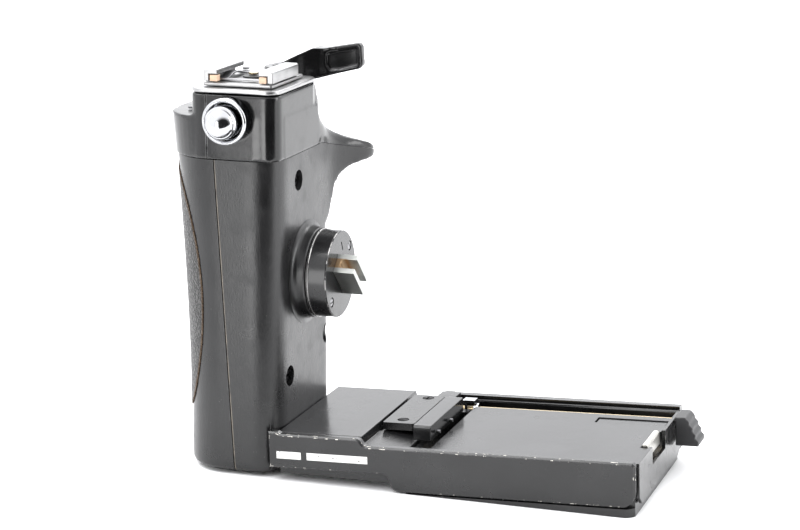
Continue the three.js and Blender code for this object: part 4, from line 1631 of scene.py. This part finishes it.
@dataclass
class Coupling(SubAssembly):
    """The camera drive coupling: boss, drum and grooved dog."""

    centre: tuple[float, float] = (23.0, 56.5)
    boss: float = 13.5
    drum: float = 13.0
    joint: float = 6.0
    face: float = 12.5

    def build(self) -> None:
        """Turns boss and drum, and trims the dog."""
        boss = [
            (4.2, 2.06), (self.boss + 2.2, 2.06), (self.boss + 1.1, 2.3), (self.boss + 0.4, 2.8),
            (self.boss, 3.6), (self.boss, self.joint - 0.3), (self.boss - 0.3, self.joint),
            (4.2, self.joint),
        ]
        ring = Blank.turned(boss, Axis.X, self.centre, 128).break_edges(0.2, 3).shade()
        ring.place("coupling_boss_cast", Body.GRIP, self.palette, Finish.HOUSING, ["coupling_boss"])
        start = self.joint + GAP
        drum = [
            (0, -10.4), (3.8, -9.4), (6.8, -6.2), (5.4, -4.8), (3, -4.2), (3, start),
            (self.drum + 0.3, start), (self.drum + 0.3, 6.8), (self.drum, 7.0), (self.drum, 12.2),
            (self.drum - 0.3, self.face), (0, self.face),
        ]
        wells = [
            Blank.rod(1.5, Axis.X, (self.centre[0] + s * 7.6, self.centre[1] + s * 7), 11.8, 14)
            for s in (1, -1)
        ]
        body = Blank.turned(drum, Axis.X, self.centre, 128).break_edges(0.12, 2)
        index = Blank.block(12.2, 14, -0.28, 0.28, -1.5, 1.5)
        index.item.data.transform(Matrix.Rotation(math.radians(25), 4, "X"))
        index.item.data.transform(Matrix.Translation((0, self.centre[0] + 1.2, self.centre[1] + 8.2)))
        body.cut(*wells, index).shade()
        body.place("coupling_drum_turned", Body.COUPLING, self.palette, Finish.DRUM, ["coupling_drum"])
        dog = Blank.cad("coupling_dog")
        points = dog.points()
        points[points[:, 0] < 13.2, 0] = self.face - 0.1
        dog.set_points(points).break_edges(0.2, 3).shade()
        dog.place("coupling_dog_cast", Body.COUPLING, self.palette, Finish.ZINC, ["coupling_dog"])


@dataclass
class Screws(SubAssembly):
    """All slotted screws, one mesh for each body."""

    height: float = 0.55

    def families(self) -> dict[str, tuple[Body, Finish, list[Screw]]]:
        """The screws by family, with the body and finish of each."""
        up = (-math.sin(TRAY_TILT), 0.0, math.cos(TRAY_TILT))
        side = (1.0, 0.0, 0.0)
        bar = []
        for i, y in enumerate((16.3, 40.0)):
            u, w = 34.9, 13.3
            seat = (
                u * math.cos(TRAY_TILT) - w * math.sin(TRAY_TILT),
                y,
                u * math.sin(TRAY_TILT) + w * math.cos(TRAY_TILT) + TRAY_LIFT,
            )
            bar.append(Screw(f"bar_screw_{i}", seat, up, 0.5 + i, 1.45))
        housing = [
            Screw("housing_screw_top", (-0.6, 16.3, 85.3), side, 1.2, 2.7),
            Screw("housing_screw_mid", (-0.6, 38.2, 33.8), side, 0.3, 2.7),
            Screw("housing_screw_low", (-0.6, 7.9, 28.2), side, 1.5, 2.7),
        ]
        shoe = [
            Screw(f"shoe_screw_{i}", (-10.85 + dx, 23.9, 116.2), (0, 0, 1), 0.4 + i, 1.1)
            for i, dx in enumerate((-6.4, 6.4))
        ]
        drum = [
            Screw(f"drum_screw_{i}", (11.85, 23 + s * 7.6, 56.5 + s * 7), side, 0.7 + i, 1.2)
            for i, s in enumerate((1, -1))
        ]
        return {
            "shoe": (Body.GRIP, Finish.STEEL, shoe),
            # Bar and housing screws in near-black steel: blackened screws, and painted shade inside their
            # holes.
            "black": (Body.GRIP, Finish.BLACKED_AND_SHADE, bar + housing),
            "drum": (Body.COUPLING, Finish.SPRING, drum),
        }

    def build(self) -> None:
        """Sets the heads on their seats through the screw tree."""
        tree = ScrewTree(self.palette.material(Finish.STEEL))
        for family, (body, finish, screws) in self.families().items():
            mesh = bpy.data.meshes.new("seats")
            mesh.from_pydata([s.seat for s in screws], [], [])
            for name, kind, field, values in (
                ("aim", "FLOAT_VECTOR", "vector", [c for s in screws for c in s.aim]),
                ("turn", "FLOAT", "value", [s.turn for s in screws]),
                ("size", "FLOAT", "value", [s.radius for s in screws]),
            ):
                mesh.attributes.new(name, kind, "POINT").data.foreach_set(field, values)
            heads = tree.run(Blank(mesh), {"Height": self.height})
            nodes = [s.node for s in screws]
            heads.shade(40).place(f"{family}_screws", body, self.palette, finish, nodes)


@dataclass
class Tray(SubAssembly):
    """The base that the camera body sits on."""

    strip_rise: tuple[float, float] = (10.7, 15.2)
    corner: float = 4.5

    def build(self) -> None:
        """Trims the tray's pieces."""
        for node, finish, width in (
            ("base_block", Finish.TRAY, 0.6),
            ("screw_bar", Finish.RAIL, 0.3),
            ("tray_floor", Finish.TRAY, 0.25),
            ("slide_cover", Finish.TRAY, 0.2),
            ("end_wall", Finish.RAIL, 0.25),
            ("contact_pin_0", Finish.STEEL, 0.15),
            ("contact_pin_1", Finish.STEEL, 0.15),
        ):
            self.trim(node, Body.GRIP, finish, width)
        self.palette.dress("tripod_socket", Finish.BRASS)
        low, high = self.strip_rise
        section = [(7, low), (38.9, low), (38.9, high - 0.4), (38.3, high), (7.6, high), (7, high - 0.4)]
        strip = Blank.prism(section, Axis.X, 41.0, 46.4).tilt().break_edges(0.3).shade()
        strip.place("locating_strip_bar", Body.GRIP, self.palette, Finish.TRAY, ["locating_strip"])
        outline = rounded_rect(-6, 109.6, -1.6, 30, 5)
        plate = Blank.cad("front_plate").keep(Blank.prism(outline, Axis.Y, -20, 10).tilt())
        plate.break_edges(0.3).shade()
        plate.place("front_plate_finished", Body.GRIP, self.palette, Finish.PLATE, ["front_plate"])
        rail = Blank.cad("rear_rail")
        for x0, x1, y0, y1, z0, z1 in ((35, 38, 53.1, 57, 1.6, 11.6), (35, 40.9, 43.4, 53.8, 10.9, 12.3)):
            rail.join(Blank.block(x0, x1, y0, y1, z0, z1).tilt())
        rail.break_edges(0.3).shade()
        rail.place("rear_rail_finished", Body.GRIP, self.palette, Finish.RAIL, ["rear_rail"])
        pan = Blank.cad("tray_pan").keep(self.rounding(-6)).break_edges(0.3).shade()
        pan.place("tray_pan_finished", Body.GRIP, self.palette, Finish.TRAY, ["tray_pan"])

    def rounding(self, low: float) -> Blank:
        """The tray's plan with its corners at the far end rounded."""
        outline = rounded_rect(0, 109.4, -4.9, 60, self.corner)
        return Blank.prism(outline, Axis.Z, low, 60)


@dataclass
class CameraLock(SubAssembly):
    """The sliding lock behind the tray."""

    def build(self) -> None:
        """Trims the lock's pieces."""
        for node, finish, width in (
            ("lock_rod", Finish.BRASS, 0.2),
            ("lock_knob", Finish.KNOB, 0.35),
            ("lock_collar", Finish.CHROME, 0.15),
            ("lock_link", Finish.STEEL, 0.15),
            ("lock_catch", Finish.CATCH, 0.2),
        ):
            self.trim(node, Body.LOCK, finish, width)
        side = [(44, 6.6), (45.2, 6.6), (44.9, 9), (44.9, 11), (47.4, 11), (47.4, 11.8)]
        side += [(43.5, 11.8), (43.2, 11.2), (44, 11)]
        hook = Blank.prism(side, Axis.Y, 47.2, 50.4).tilt().break_edges(0.2).shade()
        hook.place("lock_hook_bent", Body.LOCK, self.palette, Finish.CHROME, ["lock_hook"])


@dataclass
class Studio:
    """Camera, pale floor and soft light."""

    lens: float = 103.5
    camera_at: tuple[float, float, float] = (0.2026, -0.6250, 0.2133)
    azimuth: float = 18.86
    pitch: float = 13.08
    floor_half: float = 4.0
    floor_front: float = -0.2

    def camera(self) -> None:
        """Sets the camera."""
        data = bpy.data.cameras.new("camera")
        data.lens = self.lens
        data.sensor_width = 36
        data.clip_start = 0.01
        item = bpy.data.objects.new("camera", data)
        item.location = self.camera_at
        item.rotation_euler = (math.radians(90 - self.pitch), 0, math.radians(self.azimuth))
        bpy.context.scene.collection.objects.link(item)
        bpy.context.scene.camera = item

    def floor(self) -> None:
        """Lays the floor."""
        h, near = self.floor_half, self.floor_front
        mesh = bpy.data.meshes.new("floor")
        corners = [(-h, near, 0), (h, near, 0), (h, h, 0), (-h, h, 0)]
        mesh.from_pydata(corners, [], [(0, 1, 2, 3)])
        paint = Paint("floor_paper")
        tone = paint.mix(paint.noise(60, 2), (0.9, 0.9, 0.9), (0.93, 0.93, 0.93))
        mesh.materials.append(paint.surface(tone, 0.75))
        item = bpy.data.objects.new("floor", mesh)
        bpy.context.scene.collection.objects.link(item)

    def softbox(self, name: str, at: tuple, aim: tuple, size: tuple, power: float) -> None:
        """Hangs one area light.

        Args:
            name: the light's name.
            at: where it hangs, in metres.
            aim: the point it faces.
            size: its width and height.
            power: its power in watts.
        """
        data = bpy.data.lights.new(name, "AREA")
        data.shape = "RECTANGLE"
        data.size, data.size_y = size
        data.energy = power
        item = bpy.data.objects.new(name, data)
        item.location = at
        item.rotation_euler = (Vector(aim) - Vector(at)).to_track_quat("-Z", "Y").to_euler()
        bpy.context.scene.collection.objects.link(item)

    def sky(self) -> None:
        """Wraps the scene in a bright tent that is darker behind the camera."""
        world = bpy.data.worlds.new("tent")
        bpy.context.scene.world = world
        world.use_nodes = True
        net = Net(world.node_tree)
        way = net.field("ShaderNodeTexCoord", output="Generated")
        behind = net.vector("DOT_PRODUCT", way, (0.5, -0.85, -0.15), output="Value")
        seen = net.field("ShaderNodeLightPath", output="Is Camera Ray")
        strength = 2.0 - behind.ramp(0.4, 0.78) * (1 - seen) * 1.97
        lit = net.field(
            "ShaderNodeBackground", None, {"Color": (0.975, 0.98, 1.0, 1.0), "Strength": strength}
        )
        net.node("ShaderNodeOutputWorld", None, {"Surface": lit})

    def build(self) -> None:
        """Sets up the studio."""
        self.camera()
        self.floor()
        self.sky()
        aim = (-0.02, 0.0, 0.05)
        self.softbox("key", (-0.7, -0.3, 1.3), aim, (0.9, 0.9), 14)
        self.softbox("side", (1.3, 0.1, 0.55), aim, (0.5, 1.1), 9)
        self.softbox("back", (-0.1, 1.4, 1.2), aim, (1.6, 0.8), 16)
        self.softbox("front", (-0.2, -0.64, -0.02), (-0.05, -0.03, 0.08), (0.16, 0.6), 2.2)
        bpy.context.scene.view_settings.view_transform = "Standard"


def main() -> None:
    """Builds the sub-assemblies in order."""
    logging.basicConfig(level=logging.INFO, format="%(message)s")
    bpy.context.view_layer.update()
    palette = Palette()
    Studio().build()
    column = Column(palette)
    rest = ThumbRest()
    for group in (
        Housing(palette, column, rest),
        TopCover(palette, column, rest),
        Shoe(palette),
        Release(palette),
        WindLever(palette),
        Coupling(palette),
        Screws(palette),
        Tray(palette),
        CameraLock(palette),
    ):
        LOG.info("building %s", type(group).__name__)
        group.build()


if __name__ == "__main__":
    main()
